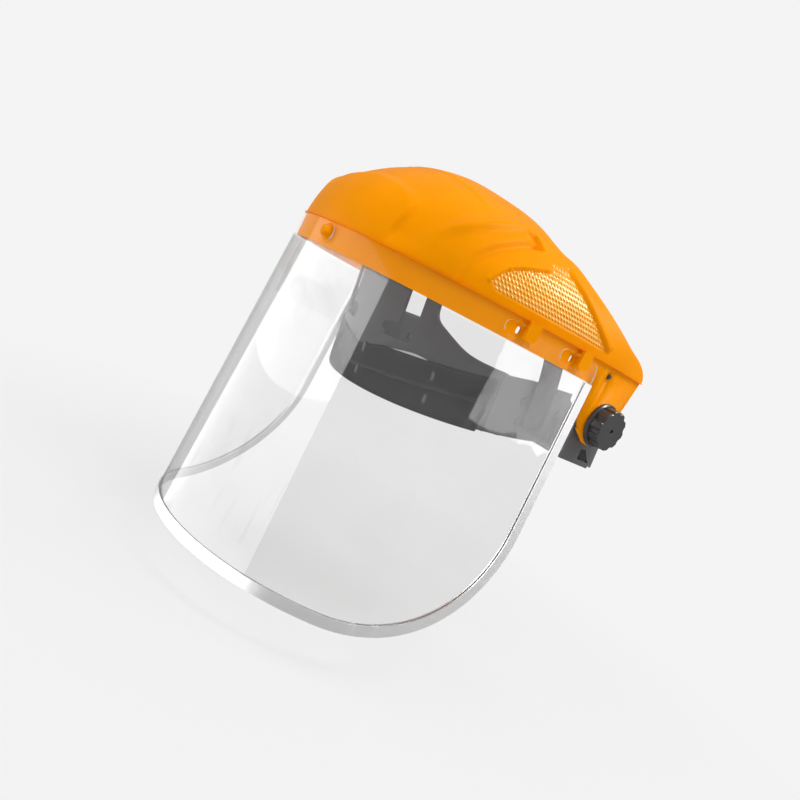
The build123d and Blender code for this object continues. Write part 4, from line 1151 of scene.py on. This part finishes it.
bm = bmesh.new()
stitch_row(bm, lambda turn: flap_top(turn) - 1.6 * MM, 1.12 * MM)
stitch_row(bm, lambda turn: flap_seam(turn) + 2.0 * MM, 1.1 * MM)
thread = moulded_plastic("dark thread", (0.05, 0.05, 0.05), (0.09, 0.09, 0.09), roughness=0.6,
                         grain=3000.0, depth=0.03 * MM, scuffs=0.1)
new_piece("sweatband_stitches", bm, thread, "headgear", "sweatband")

# %% [markdown]
# Pairs of small grey clips fasten the cover to the band, each in a darker pocket.

# %% Clips
def rounded_bar(bm, turn, height, out, size, bevel):
    """A bar on the band, size being its width, height and thickness."""
    made = bmesh.ops.create_cube(bm, size=1)["verts"]
    for v in made:
        v.co = Vector((v.co.x * size[0], v.co.y * size[1], v.co.z * size[2])) * MM
    edges = list({e for v in made for e in v.link_edges})
    bevelled = bmesh.ops.bevel(bm, geom=edges, offset=bevel * MM, segments=2, profile=0.5,
                               affect="EDGES", material=-1)["verts"]
    centre = on_headband(turn, out * MM, height * MM)
    face = (on_headband(turn, (out + 1) * MM, height * MM) - centre).normalized()
    rise = (on_headband(turn, out * MM, (height + 1) * MM) - centre).normalized()
    turned = Matrix((rise.cross(face), rise, face)).transposed()
    for v in set(bevelled) | {v for v in made if v.is_valid}:
        v.co = centre + turned @ v.co


def bar_at_each_clip(out, size, bevel):
    bm = bmesh.new()
    for turn in (-39, -5, 5, 39):
        for height in (-5.9, -20.5):
            rounded_bar(bm, radians(turn), height, out, size, bevel)
    return bm


new_piece("clip_pockets", bar_at_each_clip(1.10, (3.0, 7.0, 0.5), 0.2), washer_rubber,
          "headgear", "sweatband")
new_piece("cover_clips", bar_at_each_clip(1.35, (1.5, 4.6, 0.6), 0.25), bracket_plastic,
          "headgear", "bracket")

# %% [markdown]
# The nape pad rests against the back of the head, so it gets the same treatment, with the cap on
# its swelling set by the space inside the nape unit.

# %% Nape pad
NAPE_OUT, NAPE_THICK = -5.8 * MM, 4.6 * MM
NAPE_MIDDLE, NAPE_HALF, NAPE_SEAM = -28.0 * MM, 11 * MM, 7.5 * MM
half_turn = 34.0 / 74.0
block = bent_block((pi - half_turn, pi + half_turn), (NAPE_OUT - NAPE_THICK, NAPE_OUT),
                   (NAPE_MIDDLE - NAPE_HALF, NAPE_MIDDLE + NAPE_HALF), (24, 2, 8))
nape = new_piece("nape_cushion", block, cloth, "nape_unit", "sweatband", "nape_pad")
swell(nape, PAD_VOXEL, PAD_SWELL, -5.6 * MM)
draw_in_seams(nape, (NAPE_MIDDLE - NAPE_SEAM, NAPE_MIDDLE + NAPE_SEAM), (), 0.9 * MM, -7.2 * MM)
sew_up(nape)

# %% View transform and the end
bpy.context.scene.view_settings.view_transform = "Standard"
